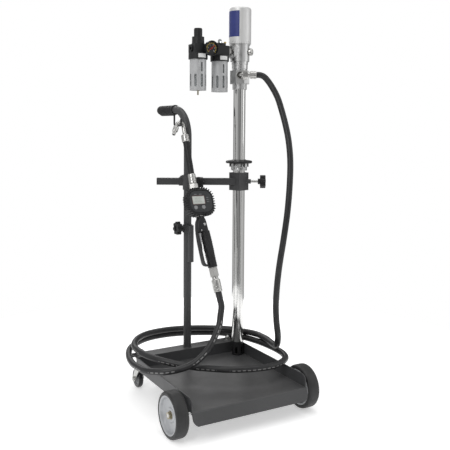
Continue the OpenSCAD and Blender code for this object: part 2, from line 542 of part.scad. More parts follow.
pivot = [-14, -97];
module gun_body() color([0.10, 0.10, 0.10]) difference() {
  union() {
    at_gun() {
      translate([-4, 0, -62]) cylinder(r = 14, h = 22.95);
      // head
      translate([0, 15, 0]) rotate([90, 0, 0]) linear_extrude(30) polygon([[-21, -60], [12, -60], [16.5, -70], [17, -88], [18, -104], [-28, -104], [-28, -92], [-26.5, -70]]);
      // trigger guard and its foot
      translate([0, 13, 0]) rotate([90, 0, 0]) linear_extrude(26) polygon([[-28, -100], [-24, -103.5], [-18.2, -203], [-15, -206], [5, -209], [5, -216], [-16, -214], [-22, -207]]);
    }
    // grip and its end collar
    at_grip() {
      translate([0, 0, -118]) cylinder(r = 15.5, h = 118);
      translate([0, 0, -121.6]) cylinder(r = 12, h = 4);
    }
  }
  // trigger slot in the head
  at_gun() translate([-21.8, -5.2, -136]) cube([16.8, 10.4, 47]);
  at_gun() translate([pivot[0], 0, pivot[1]]) rotate([90, 0, 0]) translate([0, 0, -20]) cylinder(r = 2.55, h = 40);
}
module gun_trigger() color([0.45, 0.46, 0.47]) at_gun() difference() {
  translate([0, 4.7, 0]) rotate([90, 0, 0]) linear_extrude(9.4) polygon([[-18.5, -92], [-9.5, -92], [-10, -104], [-13, -122], [-15, -140], [-16, -155], [-17, -163], [-19.4, -162], [-20.1, -148], [-20.8, -128], [-19, -104]]);
  translate([pivot[0], 0, pivot[1]]) rotate([90, 0, 0]) translate([0, 0, -20]) cylinder(r = 2.58, h = 40);
}
module swivel_nut() color([0.66, 0.67, 0.68]) at_grip() translate([0, 0, -150]) difference() { hexagon(27, 28); translate([0, 0, -1]) cylinder(r = 9.05, h = 40); }
module spout_fittings() color([0.68, 0.69, 0.70]) {
  at_gun() {
    translate([gun_x, 0, 45]) rotate([0, 0, 15]) hexagon(27, 16.88);
    translate([gun_x, 0, 61.9]) rotate_extrude() polygon([[0, 0], [10, 0], [10, 2], [12.2, 2], [13, 3], [13, 10], [12.3, 11], [13, 12], [13, 21], [12.3, 22], [13, 23], [13, 33.6], [12, 35], [hose_d / 2 + 0.1, 35], [hose_d / 2 + 0.1, 28], [0, 28]]);
    translate([gun_x, 0, 211]) rotate_extrude() polygon([[hose_d / 2 + 0.1, 0], [12, 0], [13, 1.5], [13, 9], [12.3, 10], [13, 11], [13, 19], [12.3, 20], [13, 21], [13, 24], [9, 29], [6.5, 29], [6.5, 58.98], [0, 58.98], [0, 7.1], [hose_d / 2 + 0.1, 7.1]]);
    translate([gun_x - 11.5, 0, 270]) rotate([90, 0, 0]) rotate_extrude(angle = 152) translate([11.5, 0]) circle(r = 6.5);
  }
  at_tip() translate([0, 0, -15]) cylinder(r = 6.5, h = 14.98);
}
module spout_hose() color([0.06, 0.06, 0.06]) at_gun() translate([gun_x, 0, 90]) cylinder(d = hose_d, h = 128);
module spout_tip() color([0.60, 0.61, 0.62]) at_tip() rotate_extrude()
  polygon([[4.2, -43], [6, -43], [6, -31], [9.5, -29.5], [9.5, -14.5], [8.4, -12], [6.6, -12], [6.6, -15.3], [4.2, -15.3]]);

// ---------- hose ----------
hose_a = [[197.2, -25.8, 1075], [209.4, -32.6, 1075], [222, -40, 1069], [234, -51, 1051], [244, -63, 1028], [253, -77, 998], [259, -91, 960], [263, -112, 905], [263, -130, 855],
  [259, -147, 790], [249, -160, 710], [235, -169, 620], [222, -169, 535], [210, -161, 435], [205, -156, 360], [204, -154, 300], [204, -159, 250], [206, -165, 209], [210, -157, 180],
  [217, -136, 164], [227, -100, 160], [237, -52, 160], [238, -33, 160], [238, -15, 160]];
hose_b = [[238, -15, 160], [238, 3, 160], [232, 28, 160], [215, 62, 160], [188, 108, 160], [150, 142, 160], [104, 172, 160], [40, 201, 160], [-25, 215, 160], [-101, 206, 160], [-150, 175, 160],
  [-181, 135, 160], [-200, 90, 160], [-204, 40, 160], [-196, -15, 159], [-173, -65, 156], [-136, -103, 149], [-96, -136, 144], [-45, -173, 141], [0, -202, 139.5],
  [46, -222, 139], [97, -236, 139], [145, -236, 139], [188, -219, 139], [218, -193, 139], [234, -157, 139], [240, -108, 139], [239, -60, 139], [234, -15, 139], [224, 30, 139],
  [206, 80, 139], [182, 128, 139], [148, 162, 139], [105, 187, 139], [46, 212, 139], [-18, 226, 139], [-94, 219, 139], [-150, 188, 139], [-194, 143, 139], [-221, 90, 139],
  [-239, 32, 139], [-245, -10, 139], [-244.5, -34, 139.5], [-243, -52, 140]];
hose_c = [[-243, -52, 140], [-241.5, -70, 140.5], [-237, -86, 141], [-229, -102, 142], [-216, -119, 144], [-201, -137, 146.5], [-180, -151, 150], [-153.3, -162.6, 155.0], [-120.3, -174.4, 167.0], [-94.4, -179.3, 184.2], [-66.8, -178.0, 206.9], [-45.1, -172.0, 229.9], [-26.7, -163.4, 252.8], [-12.6, -155.9, 273.8], [-4.3, -147.8, 299.4], [3.2, -140.6, 327.2], [2.6, -130.7, 349.1], [2.3, -120.5, 370.3]];

// tube round a route, as rings joined by triangles
sides = 10;
function unit(v) = v / norm(v);
function dirs(p) = [for (i = [0 : len(p) - 1]) unit(p[min(i + 1, len(p) - 1)] - p[max(i - 1, 0)])];
function carry(d) = [for (i = 0, n = unit(cross(d[0], [0.31, 0.21, 0.93])); i < len(d); i = i + 1, n = i < len(d) ? unit(n - (n * d[i]) * d[i]) : n) n];
module hose_along(p) {
  d = dirs(p);
  n = carry(d);
  pts = [for (i = [0 : len(p) - 1]) for (k = [0 : sides - 1]) p[i] + hose_d / 2 * (cos(k * 360 / sides) * n[i] + sin(k * 360 / sides) * cross(d[i], n[i]))];
  m = len(p);
  polyhedron(pts, concat(
    [[for (k = [0 : sides - 1]) k]],
    [for (i = [0 : m - 2]) for (k = [0 : sides - 1]) each [
      [i * sides + k, (i + 1) * sides + k, (i + 1) * sides + (k + 1) % sides],
      [i * sides + k, (i + 1) * sides + (k + 1) % sides, i * sides + (k + 1) % sides]]],
    [[for (k = [sides - 1 : -1 : 0]) (m - 1) * sides + k]]));
}
module hose_drop() color([0.09, 0.09, 0.09]) place() hose_along(hose_a);
module hose_coil() color([0.09, 0.09, 0.09]) place() hose_along(hose_b);
module hose_tail() {
  color([0.09, 0.09, 0.09]) place() hose_along(hose_c);
  // crimped ferrule at the gun's end
  color([0.66, 0.67, 0.68]) at_grip() translate([0, 0, -200]) rotate_extrude() polygon([[hose_d / 2 + 0.1, 0], [13.2, 0], [13.8, 1.5], [13.8, 8], [13, 9], [13.8, 10], [13.8, 18], [13, 19],
    [13.8, 20], [13.8, 38], [12.6, 40], [10, 40], [10, 49.6], [8.98, 49.6], [8.98, 63], [5, 63], [5, 1.5], [hose_d / 2 + 0.1, 1.5]]);
}

tray();
axle_brackets();
axle();
axle_nuts();
post_handle();
handle_grip();
gun_hook();
arm_socket();
castor_stems();
tyre_left();
rim_left();
tyre_right();
rim_right();
castor_fork_left();
castor_fork_right();
castor_wheel_left();
castor_wheel_right();
arm_bar();
arm_end_cap();
clamp_block();
arm_knob();
block_knob();
holder_knob();
spout_holder();
motor_cap();
valve_body();
silencer();
pump_neck();
outlet_block();
suction_tube();
foot_valve();
foot_ball();
outlet_elbow();
power_piston();
bung_disc();
bung_ring();
regulator_body();
regulator_bonnet();
regulator_knob();
bowl_guards();
bowls();
filter_element();
drain_valve();
lubricator_body();
gauge_case();
gauge_needle();
meter_case();
meter_guard();
meter_screen();
button_left();
button_right();
gun_body();
gun_trigger();
swivel_nut();
spout_fittings();
spout_hose();
spout_tip();
hose_drop();
hose_coil();
hose_tail();
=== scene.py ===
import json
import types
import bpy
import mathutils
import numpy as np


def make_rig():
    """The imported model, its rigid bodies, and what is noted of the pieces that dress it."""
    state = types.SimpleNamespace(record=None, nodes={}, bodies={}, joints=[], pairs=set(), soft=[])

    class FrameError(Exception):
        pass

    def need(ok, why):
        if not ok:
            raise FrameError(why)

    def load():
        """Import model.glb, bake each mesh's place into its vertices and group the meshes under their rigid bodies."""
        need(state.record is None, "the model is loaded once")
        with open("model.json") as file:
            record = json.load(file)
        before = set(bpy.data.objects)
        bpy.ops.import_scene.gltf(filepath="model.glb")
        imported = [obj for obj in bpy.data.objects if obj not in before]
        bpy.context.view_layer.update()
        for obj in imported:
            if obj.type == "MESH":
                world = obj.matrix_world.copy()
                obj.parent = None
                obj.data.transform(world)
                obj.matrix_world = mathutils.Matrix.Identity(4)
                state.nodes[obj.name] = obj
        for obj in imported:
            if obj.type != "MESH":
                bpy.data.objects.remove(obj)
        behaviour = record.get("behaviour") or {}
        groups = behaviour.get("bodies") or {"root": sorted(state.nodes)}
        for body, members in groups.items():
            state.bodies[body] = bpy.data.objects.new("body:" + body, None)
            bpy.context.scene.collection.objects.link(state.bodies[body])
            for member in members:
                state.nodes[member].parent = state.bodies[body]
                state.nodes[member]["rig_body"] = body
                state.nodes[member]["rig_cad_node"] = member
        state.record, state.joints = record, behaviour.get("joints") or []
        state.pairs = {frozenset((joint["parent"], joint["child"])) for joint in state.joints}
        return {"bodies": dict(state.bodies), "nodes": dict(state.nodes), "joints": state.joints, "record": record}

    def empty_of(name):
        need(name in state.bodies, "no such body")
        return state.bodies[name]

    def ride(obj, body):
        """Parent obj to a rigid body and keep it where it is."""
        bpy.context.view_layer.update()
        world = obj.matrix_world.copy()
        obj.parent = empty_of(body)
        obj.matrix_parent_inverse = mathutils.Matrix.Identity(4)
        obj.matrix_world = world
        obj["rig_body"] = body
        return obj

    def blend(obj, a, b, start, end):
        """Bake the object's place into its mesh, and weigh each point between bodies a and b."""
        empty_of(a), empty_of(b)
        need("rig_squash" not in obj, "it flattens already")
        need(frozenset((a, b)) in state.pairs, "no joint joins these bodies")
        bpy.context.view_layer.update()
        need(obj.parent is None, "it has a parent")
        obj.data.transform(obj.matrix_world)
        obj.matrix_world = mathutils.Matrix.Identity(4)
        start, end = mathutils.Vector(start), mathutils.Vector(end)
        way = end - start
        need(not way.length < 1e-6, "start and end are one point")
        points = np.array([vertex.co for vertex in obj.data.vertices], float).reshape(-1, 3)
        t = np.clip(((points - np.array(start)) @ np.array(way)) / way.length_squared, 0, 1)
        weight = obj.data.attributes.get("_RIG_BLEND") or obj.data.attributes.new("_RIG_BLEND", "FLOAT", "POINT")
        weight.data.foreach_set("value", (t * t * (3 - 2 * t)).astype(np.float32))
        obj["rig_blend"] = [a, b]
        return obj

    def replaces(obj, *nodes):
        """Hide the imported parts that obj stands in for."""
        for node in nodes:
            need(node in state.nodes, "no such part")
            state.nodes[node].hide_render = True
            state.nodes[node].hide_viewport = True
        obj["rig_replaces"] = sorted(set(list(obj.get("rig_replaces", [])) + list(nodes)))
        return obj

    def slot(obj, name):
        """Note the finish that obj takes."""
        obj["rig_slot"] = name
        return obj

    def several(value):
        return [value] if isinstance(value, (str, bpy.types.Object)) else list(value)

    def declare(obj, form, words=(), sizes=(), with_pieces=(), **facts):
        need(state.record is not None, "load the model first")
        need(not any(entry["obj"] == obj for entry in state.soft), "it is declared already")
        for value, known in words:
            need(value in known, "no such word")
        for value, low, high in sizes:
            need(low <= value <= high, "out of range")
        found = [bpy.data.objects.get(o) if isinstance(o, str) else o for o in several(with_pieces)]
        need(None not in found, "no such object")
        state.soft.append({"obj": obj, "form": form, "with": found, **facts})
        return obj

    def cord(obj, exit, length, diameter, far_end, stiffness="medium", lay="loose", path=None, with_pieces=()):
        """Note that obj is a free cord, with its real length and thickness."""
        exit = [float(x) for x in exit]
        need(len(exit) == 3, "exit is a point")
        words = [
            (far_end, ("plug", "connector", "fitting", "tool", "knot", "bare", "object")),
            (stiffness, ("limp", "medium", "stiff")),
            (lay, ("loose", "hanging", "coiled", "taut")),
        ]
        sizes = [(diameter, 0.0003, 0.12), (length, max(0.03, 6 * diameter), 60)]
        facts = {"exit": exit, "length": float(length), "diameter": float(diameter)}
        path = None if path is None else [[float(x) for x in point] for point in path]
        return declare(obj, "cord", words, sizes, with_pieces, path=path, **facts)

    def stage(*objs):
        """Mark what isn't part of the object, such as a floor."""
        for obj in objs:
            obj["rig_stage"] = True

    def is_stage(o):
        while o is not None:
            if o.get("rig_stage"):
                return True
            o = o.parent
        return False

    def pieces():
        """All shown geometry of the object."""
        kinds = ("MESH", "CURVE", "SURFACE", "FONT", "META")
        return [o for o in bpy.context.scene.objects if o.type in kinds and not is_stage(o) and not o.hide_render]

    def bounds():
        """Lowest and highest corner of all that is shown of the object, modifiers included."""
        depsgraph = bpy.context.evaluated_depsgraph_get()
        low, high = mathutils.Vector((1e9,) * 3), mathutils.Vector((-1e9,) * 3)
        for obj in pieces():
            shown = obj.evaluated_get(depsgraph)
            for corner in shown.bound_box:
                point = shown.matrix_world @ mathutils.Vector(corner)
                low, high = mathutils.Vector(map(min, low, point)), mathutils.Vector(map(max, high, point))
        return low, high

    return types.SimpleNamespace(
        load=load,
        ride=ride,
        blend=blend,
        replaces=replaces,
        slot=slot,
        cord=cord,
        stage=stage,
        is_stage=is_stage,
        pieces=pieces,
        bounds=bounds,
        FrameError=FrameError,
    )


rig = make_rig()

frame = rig.load()

import json
import math
import random

import bmesh
import bpy
from mathutils import Matrix, Vector

CAD_BOX = [[float(c) for c in v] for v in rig.bounds()]
N = frame["nodes"]
MM = 0.001
OX, OY = -8.46, 13.5
pi = math.pi
rad = math.radians

# ------------------------------------------------------------------ places
T = lambda x, y, z: Matrix.Translation(Vector((x, y, z)) * MM)
CART = T(OX, OY, 0)
ARM = CART @ T(0, 95, 0) @ Matrix.Rotation(rad(-29), 4, 'Z')
PUMP = ARM @ T(178, 38, 0)
PXY = PUMP.to_translation()
MOTOR = Matrix.Translation((PXY.x, PXY.y, 0))
GUN = CART @ T(-14, -14.6, 649.2) @ Matrix.Rotation(rad(-20.8), 4, 'X')
GRIP = GUN @ T(4.5, 0, -100) @ Matrix.Rotation(rad(-3.4), 4, 'Y')
TIP = GUN @ T(-21.5 + 11.5 * math.cos(rad(152)), 0, 270 + 11.5 * math.sin(rad(152))) @ Matrix.Rotation(rad(28), 4, 'Y')
ALONG_X = Matrix.Rotation(rad(90), 4, 'Y')
ALONG_NX = Matrix.Rotation(rad(-90), 4, 'Y')
ALONG_Y = Matrix.Rotation(rad(-90), 4, 'X')
ALONG_NY = Matrix.Rotation(rad(90), 4, 'X')

# ------------------------------------------------------------------ camera
cam_data = bpy.data.cameras.new("camera")
cam_data.sensor_fit = 'HORIZONTAL'
cam_data.sensor_width = 36.0
cam_data.lens = 54.35
cam_data.shift_x = 0.0
cam_data.shift_y = -0.10
cam_data.clip_start = 0.05
cam_data.clip_end = 60
cam = bpy.data.objects.new("camera", cam_data)
bpy.context.scene.collection.objects.link(cam)
cam.matrix_world = CART @ T(-1053.0, -1995.0, 891.6) @ Matrix.Rotation(rad(-29.897), 4, 'Z') @ Matrix.Rotation(rad(85.700), 4, 'X') @ Matrix.Rotation(rad(0.374), 4, 'Z')
bpy.context.scene.camera = cam
bpy.context.scene.view_settings.view_transform = 'Standard'

# ------------------------------------------------------------------ materials
def shader(name, base, rough, metal=0.0, rough_var=0.06, rough_scale=60.0, tone=0.12, tone_scale=25.0,
           bump=0.0, bump_scale=900.0, bump_dist=0.0002, stretch=(1, 1, 1), spec=0.5, coat=0.0, coat_rough=0.1,
           specks=None, voronoi=False, transmission=0.0, ior=1.45, alpha=1.0, scratches=0.0, dust=None, emit=None):
    m = bpy.data.materials.new(name)
    m.use_nodes = True
    nt = m.node_tree
    nd, ln = nt.nodes, nt.links
    b = nd["Principled BSDF"]
    b.inputs["Metallic"].default_value = metal
    b.inputs["Specular IOR Level"].default_value = spec
    b.inputs["IOR"].default_value = ior
    b.inputs["Coat Weight"].default_value = coat
    b.inputs["Coat Roughness"].default_value = coat_rough
    b.inputs["Transmission Weight"].default_value = transmission
    b.inputs["Alpha"].default_value = alpha
    if emit:
        b.inputs["Emission Color"].default_value = (*emit[0], 1)
        b.inputs["Emission Strength"].default_value = emit[1]
    co = nd.new("ShaderNodeTexCoord")
    mp = nd.new("ShaderNodeMapping")
    mp.inputs["Scale"].default_value = stretch
    ln.new(co.outputs["Object"], mp.inputs["Vector"])
    def noise(scale, detail=3.0, roughness=0.55, vec=None):
        n = nd.new("ShaderNodeTexNoise")
        n.inputs["Scale"].default_value = scale
        n.inputs["Detail"].default_value = detail
        n.inputs["Roughness"].default_value = roughness
        ln.new((vec or mp).outputs["Vector"], n.inputs["Vector"])
        return n
    # colour: two tones of the base, broad patches and finer mottling
    n1 = noise(tone_scale, 5.0)
    r1 = nd.new("ShaderNodeValToRGB")
    lo = [max(0.0, c * (1 - tone)) for c in base]
    hi = [min(1.0, c * (1 + tone)) for c in base]
    r1.color_ramp.elements[0].position = 0.33
    r1.color_ramp.elements[0].color = (*lo, 1)
    r1.color_ramp.elements[1].position = 0.67
    r1.color_ramp.elements[1].color = (*hi, 1)
    ln.new(n1.outputs["Fac"], r1.inputs["Fac"])
    colour = r1.outputs["Color"]
    if specks:
        n2 = noise(specks[1], 2.0)
        r2 = nd.new("ShaderNodeValToRGB")
        r2.color_ramp.elements[0].position = specks[2]
        r2.color_ramp.elements[0].color = (0, 0, 0, 1)
        r2.color_ramp.elements[1].position = min(1.0, specks[2] + 0.08)
        r2.color_ramp.elements[1].color = (1, 1, 1, 1)
        ln.new(n2.outputs["Fac"], r2.inputs["Fac"])
        mx = nd.new("ShaderNodeMix")
        mx.data_type = 'RGBA'
        ln.new(r2.outputs["Color"], mx.inputs[0])
        ln.new(colour, mx.inputs[6])
        mx.inputs[7].default_value = (*specks[0], 1)
        colour = mx.outputs[2]
    if dust:
        # a little dust on faces that look up
        ge = nd.new("ShaderNodeNewGeometry")
        sx = nd.new("ShaderNodeSeparateXYZ")
        ln.new(ge.outputs["Normal"], sx.inputs["Vector"])
        nz = noise(dust[2], 4.0)
        mu = nd.new("ShaderNodeMath")
        mu.operation = 'MULTIPLY'
        mu.use_clamp = True
        ln.new(sx.outputs["Z"], mu.inputs[0])
        ln.new(nz.outputs["Fac"], mu.inputs[1])
        m2 = nd.new("ShaderNodeMath")
        m2.operation = 'MULTIPLY'
        m2.use_clamp = True
        ln.new(mu.outputs[0], m2.inputs[0])
        m2.inputs[1].default_value = dust[1]
        mx = nd.new("ShaderNodeMix")
        mx.data_type = 'RGBA'
        ln.new(m2.outputs[0], mx.inputs[0])
        ln.new(colour, mx.inputs[6])
        mx.inputs[7].default_value = (*dust[0], 1)
        colour = mx.outputs[2]
    ln.new(colour, b.inputs["Base Color"])
    # roughness
    n3 = noise(rough_scale, 4.0)
    mr = nd.new("ShaderNodeMapRange")
    mr.inputs["From Min"].default_value = 0.3
    mr.inputs["From Max"].default_value = 0.7
    mr.inputs["To Min"].default_value = max(0.02, rough - rough_var)
    mr.inputs["To Max"].default_value = min(1.0, rough + rough_var)
    ln.new(n3.outputs["Fac"], mr.inputs["Value"])
    ln.new(mr.outputs["Result"], b.inputs["Roughness"])
    # surface relief
    if bump:
        if voronoi:
            n4 = nd.new("ShaderNodeTexVoronoi")
            n4.inputs["Scale"].default_value = bump_scale
            ln.new(mp.outputs["Vector"], n4.inputs["Vector"])
            hgt = n4.outputs["Distance"]
        else:
            hgt = noise(bump_scale, 2.0).outputs["Fac"]
        bp = nd.new("ShaderNodeBump")
        bp.inputs["Strength"].default_value = bump
        bp.inputs["Distance"].default_value = bump_dist
        ln.new(hgt, bp.inputs["Height"])
        if scratches:
            ms = nd.new("ShaderNodeMapping")
            ms.inputs["Scale"].default_value = (1, 1, 0.03)
            ln.new(co.outputs["Object"], ms.inputs["Vector"])
            n5 = noise(1500.0, 1.0, 0.5, ms)
            b2 = nd.new("ShaderNodeBump")
            b2.inputs["Strength"].default_value = scratches
            b2.inputs["Distance"].default_value = 0.00005
            ln.new(n5.outputs["Fac"], b2.inputs["Height"])
            ln.new(bp.outputs["Normal"], b2.inputs["Normal"])
            ln.new(b2.outputs["Normal"], b.inputs["Normal"])
        else:
            ln.new(bp.outputs["Normal"], b.inputs["Normal"])
    return m

M = {}
M["paint"] = shader("charcoal_powder_coat", (0.052, 0.0525, 0.054), 0.42, rough_var=0.05, tone=0.10, tone_scale=8, bump=0.35, bump_scale=700, bump_dist=0.00012, spec=0.5, specks=((0.075, 0.078, 0.083), 1400, 0.62), dust=((0.12, 0.12, 0.12), 0.25, 14))
M["tray"] = shader("tray_powder_coat", (0.052, 0.053, 0.055), 0.40, rough_var=0.07, rough_scale=18, tone=0.10, tone_scale=6, bump=0.35, bump_scale=650, bump_dist=0.00012, spec=0.55, specks=((0.08, 0.08, 0.083), 1400, 0.62), dust=((0.11, 0.108, 0.105), 0.55, 9))
M["black"] = shader("black_moulded_plastic", (0.016, 0.016, 0.017), 0.42, rough_var=0.08, tone=0.2, tone_scale=30, bump=0.3, bump_scale=1500, bump_dist=0.0001, spec=0.45)
M["black_gloss"] = shader("black_gloss_plastic", (0.012, 0.012, 0.013), 0.22, rough_var=0.06, tone=0.2, tone_scale=30, bump=0.1, bump_scale=600, bump_dist=0.0001, spec=0.5)
M["grip"] = shader("grip_rubber", (0.017, 0.017, 0.018), 0.55, rough_var=0.10, tone=0.25, tone_scale=45, bump=0.4, bump_scale=1300, bump_dist=0.00015, spec=0.4)
M["rubber"] = shader("moulded_rubber", (0.014, 0.014, 0.015), 0.50, rough_var=0.08, tone=0.22, tone_scale=40, bump=0.3, bump_scale=1100, bump_dist=0.00015, spec=0.42)
M["tyre"] = shader("tyre_rubber", (0.022, 0.022, 0.023), 0.50, rough_var=0.10, tone=0.18, tone_scale=22, bump=0.35, bump_scale=800, bump_dist=0.0002, spec=0.45, dust=((0.10, 0.098, 0.092), 0.30, 30))
M["rim"] = shader("rim_silver_grey", (0.43, 0.44, 0.455), 0.38, rough_var=0.06, tone=0.05, tone_scale=20, bump=0.2, bump_scale=900, bump_dist=0.0001, spec=0.5, metal=0.15)
M["zinc"] = shader("zinc_plate", (0.50, 0.50, 0.485), 0.30, metal=1.0, rough_var=0.10, tone=0.08, tone_scale=70, bump=0.25, bump_scale=900, bump_dist=0.0001, specks=((0.50, 0.48, 0.42), 260, 0.66))
# yellow zinc with its base darkened to paint the shade of the hub hole the axle nuts sit in; the drain valve takes the
# same darkened colour
M["zinc_yellow"] = shader("yellow_zinc_darkened_for_hub_shade", (0.36, 0.32, 0.22), 0.34, metal=1.0, rough_var=0.10, tone=0.16, tone_scale=120, bump=0.25, bump_scale=900, bump_dist=0.0001, specks=((0.50, 0.42, 0.40), 200, 0.60))
M["chrome"] = shader("polished_tube", (0.66, 0.66, 0.65), 0.12, metal=1.0, rough_var=0.025, rough_scale=22, tone=0.03, tone_scale=10, bump=0.015, bump_scale=120, bump_dist=0.0001, scratches=0.02)
M["alu"] = shader("cast_aluminium", (0.60, 0.602, 0.60), 0.38, metal=1.0, rough_var=0.06, tone=0.05, tone_scale=30, bump=0.10, bump_scale=750, bump_dist=0.00008)
M["alu_turned"] = shader("turned_aluminium", (0.64, 0.64, 0.64), 0.30, metal=1.0, rough_var=0.05, tone=0.04, tone_scale=30, bump=0.05, bump_scale=900, bump_dist=0.00005, stretch=(0.2, 0.2, 3.0))
M["cap"] = shader("anodised_cap", (0.70, 0.70, 0.695), 0.38, metal=0.35, rough_var=0.05, tone=0.03, tone_scale=12, bump=0.12, bump_scale=1100, bump_dist=0.00008, scratches=0.12)
M["nickel"] = shader("nickel_plate", (0.54, 0.535, 0.52), 0.30, metal=1.0, rough_var=0.06, tone=0.06, tone_scale=70, bump=0.05, bump_scale=700, bump_dist=0.00005)
M["brass"] = shader("brass", (0.60, 0.44, 0.18), 0.28, metal=1.0, rough_var=0.08, tone=0.10, tone_scale=80, bump=0.15, bump_scale=700, bump_dist=0.0001)
M["case"] = shader("meter_case_plastic", (0.030, 0.031, 0.033), 0.36, rough_var=0.07, tone=0.15, tone_scale=30, bump=0.25, bump_scale=1500, bump_dist=0.0001, spec=0.5)
M["grey"] = shader("grey_plastic", (0.17, 0.175, 0.18), 0.40, rough_var=0.07, tone=0.08, tone_scale=40, bump=0.2, bump_scale=1200, bump_dist=0.0001)
M["button"] = shader("light_button_plastic", (0.24, 0.24, 0.245), 0.38, rough_var=0.06, tone=0.05, tone_scale=60, bump=0.15, bump_scale=1200, bump_dist=0.0001)
M["screen"] = shader("display", (0.50, 0.52, 0.49), 0.20, rough_var=0.04, tone=0.04, tone_scale=50, bump=0.05, bump_scale=1500, bump_dist=0.00005, coat=0.6, coat_rough=0.05)
M["ink"] = shader("display_segments", (0.05, 0.055, 0.05), 0.35, tone=0.1, rough_var=0.05, bump=0.05)
M["red"] = shader("red_plastic", (0.52, 0.030, 0.025), 0.32, rough_var=0.06, tone=0.10, tone_scale=60, bump=0.12, bump_scale=1000, bump_dist=0.0001)
M["yellow"] = shader("dial_yellow", (0.72, 0.55, 0.08), 0.45, rough_var=0.05, tone=0.06, tone_scale=90, bump=0.1, bump_scale=1200, bump_dist=0.00005)
M["white"] = shader("blank_label", (0.78, 0.78, 0.77), 0.42, rough_var=0.05, tone=0.03, tone_scale=60, bump=0.08, bump_scale=1500, bump_dist=0.00005)
M["dial"] = shader("gauge_dial", (0.014, 0.014, 0.016), 0.45, rough_var=0.06, tone=0.12, tone_scale=90, bump=0.1, bump_scale=1500, bump_dist=0.00005)
M["filter"] = shader("sintered_filter", (0.70, 0.69, 0.64), 0.75, rough_var=0.08, tone=0.10, tone_scale=300, bump=0.8, bump_scale=1400, bump_dist=0.0003)
M["bowl"] = shader("clear_bowl", (0.80, 0.83, 0.84), 0.10, rough_var=0.04, tone=0.03, tone_scale=30, bump=0.06, bump_scale=300, bump_dist=0.0002, transmission=0.85, ior=1.45)
M["steel"] = shader("ground_steel", (0.52, 0.52, 0.52), 0.20, metal=1.0, rough_var=0.06, tone=0.04, tone_scale=50, bump=0.1, bump_scale=900, bump_dist=0.00006)
M["black_paint"] = shader("black_painted_rod", (0.018, 0.018, 0.019), 0.35, rough_var=0.06, tone=0.15, tone_scale=60, bump=0.25, bump_scale=900, bump_dist=0.0001, spec=0.5)
M["guard_silver"] = shader("silver_grey_guard", (0.50, 0.505, 0.51), 0.36, metal=0.25, rough_var=0.06, tone=0.05, tone_scale=40, bump=0.2, bump_scale=1100, bump_dist=0.0001)
M["trigger"] = shader("light_grey_trigger", (0.42, 0.42, 0.43), 0.40, rough_var=0.07, tone=0.06, tone_scale=60, bump=0.2, bump_scale=1200, bump_dist=0.0001)
M["frame_red"] = shader("thin_frame_red", (0.13, 0.055, 0.05), 0.35, rough_var=0.05, tone=0.10, tone_scale=60, bump=0.1)
M["faint_ink"] = shader("display_segments_faint", (0.33, 0.345, 0.32), 0.3, tone=0.08, rough_var=0.05, bump=0.05)
M["blue"] = shader("plain_blue_panel", (0.030, 0.042, 0.20), 0.36, rough_var=0.05, tone=0.08, tone_scale=60, bump=0.08, bump_scale=1500, bump_dist=0.00005)
# near-black for hollow insides, painting their shade; no part takes it
M["painted_inside_shade"] = shader("painted_inside_shade", (0.008, 0.008, 0.009), 0.6, tone=0.15, bump=0.2)

# ------------------------------------------------------------------ mesh tools
def link(name, me, body, mat, node=None, mtx=None, smooth=40.0, slot=None, weighted=False):
    if mtx is not None:
        me.transform(mtx)
        if mtx.determinant() < 0:
            me.flip_normals()
    o = bpy.data.objects.new(name, me)
    bpy.context.scene.collection.objects.link(o)
    for k in (mat if isinstance(mat, (list, tuple)) else [mat]):
        me.materials.append(M[k])
    me.shade_smooth()
    me.set_sharp_from_angle(angle=rad(smooth))
    if weighted:
        w = o.modifiers.new("weighted", 'WEIGHTED_NORMAL')
        w.keep_sharp = True
        w.weight = 80
    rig.ride(o, body)
    if node:
        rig.replaces(o, *([node] if isinstance(node, str) else node))
    if slot:
        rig.slot(o, slot)
    return o

def body_of(node):
    return N[node]["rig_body"]

def finish_bm(bm, name):
    me = bpy.data.meshes.new(name)
    bm.to_mesh(me)
    bm.free()
    return me

def soften(node, mat, width=0.8, segs=3, angle=32.0, name=None, smooth=45.0, clamp=True, body=None):
    """the node's own shape with its sharp edges rounded over"""
    bm = bmesh.new()
    bm.from_mesh(N[node].data)
    bmesh.ops.remove_doubles(bm, verts=bm.verts, dist=2e-6)
    bmesh.ops.dissolve_limit(bm, angle_limit=rad(0.6), verts=bm.verts, edges=bm.edges)
    es = [e for e in bm.edges if len(e.link_faces) == 2 and e.calc_face_angle(0.0) > rad(angle)]
    if es and width > 0:
        bmesh.ops.bevel(bm, geom=es, offset=width * MM, segments=segs, profile=0.6, affect='EDGES', clamp_overlap=clamp)
    bmesh.ops.recalc_face_normals(bm, faces=bm.faces)
    me = finish_bm(bm, name or node + "_piece")
    for k in list(me.materials):
        pass
    me.materials.clear()
    for p in me.polygons:
        p.material_index = 0
    return link(name or node + "_piece", me, body or body_of(node), mat, node, smooth=smooth, weighted=True)

def keep(node, *mats):
    o = N[node]
    o.data.materials.clear()
    for k in mats:
        o.data.materials.append(M[k])
    for p in o.data.polygons:
        p.material_index = 0

def fillet(pts, r, n=4, closed=False):
    """rounds the corners of a profile; r is one radius or one per point"""
    out = []
    m = len(pts)
    for i, p in enumerate(pts):
        ri = r[i] if isinstance(r, (list, tuple)) else r
        if (not closed and i in (0, m - 1)) or ri <= 0:
            out.append(p)
            continue
        a, b = Vector(pts[i - 1]), Vector(pts[(i + 1) % m])
        c = Vector(p)
        u, v = (a - c), (b - c)
        lu, lv = u.length, v.length
        if lu < 1e-6 or lv < 1e-6:
            out.append(p)
            continue
        u.normalize(); v.normalize()
        ang = u.angle(v)
        if ang > rad(176):
            out.append(p)
            continue
        d = min(ri / math.tan(ang / 2), lu * 0.49, lv * 0.49)
        s, e = c + u * d, c + v * d
        for k in range(n + 1):
            t = k / n
            q = (1 - t) ** 2 * s + 2 * t * (1 - t) * c + t ** 2 * e
            out.append(tuple(q))
    return out

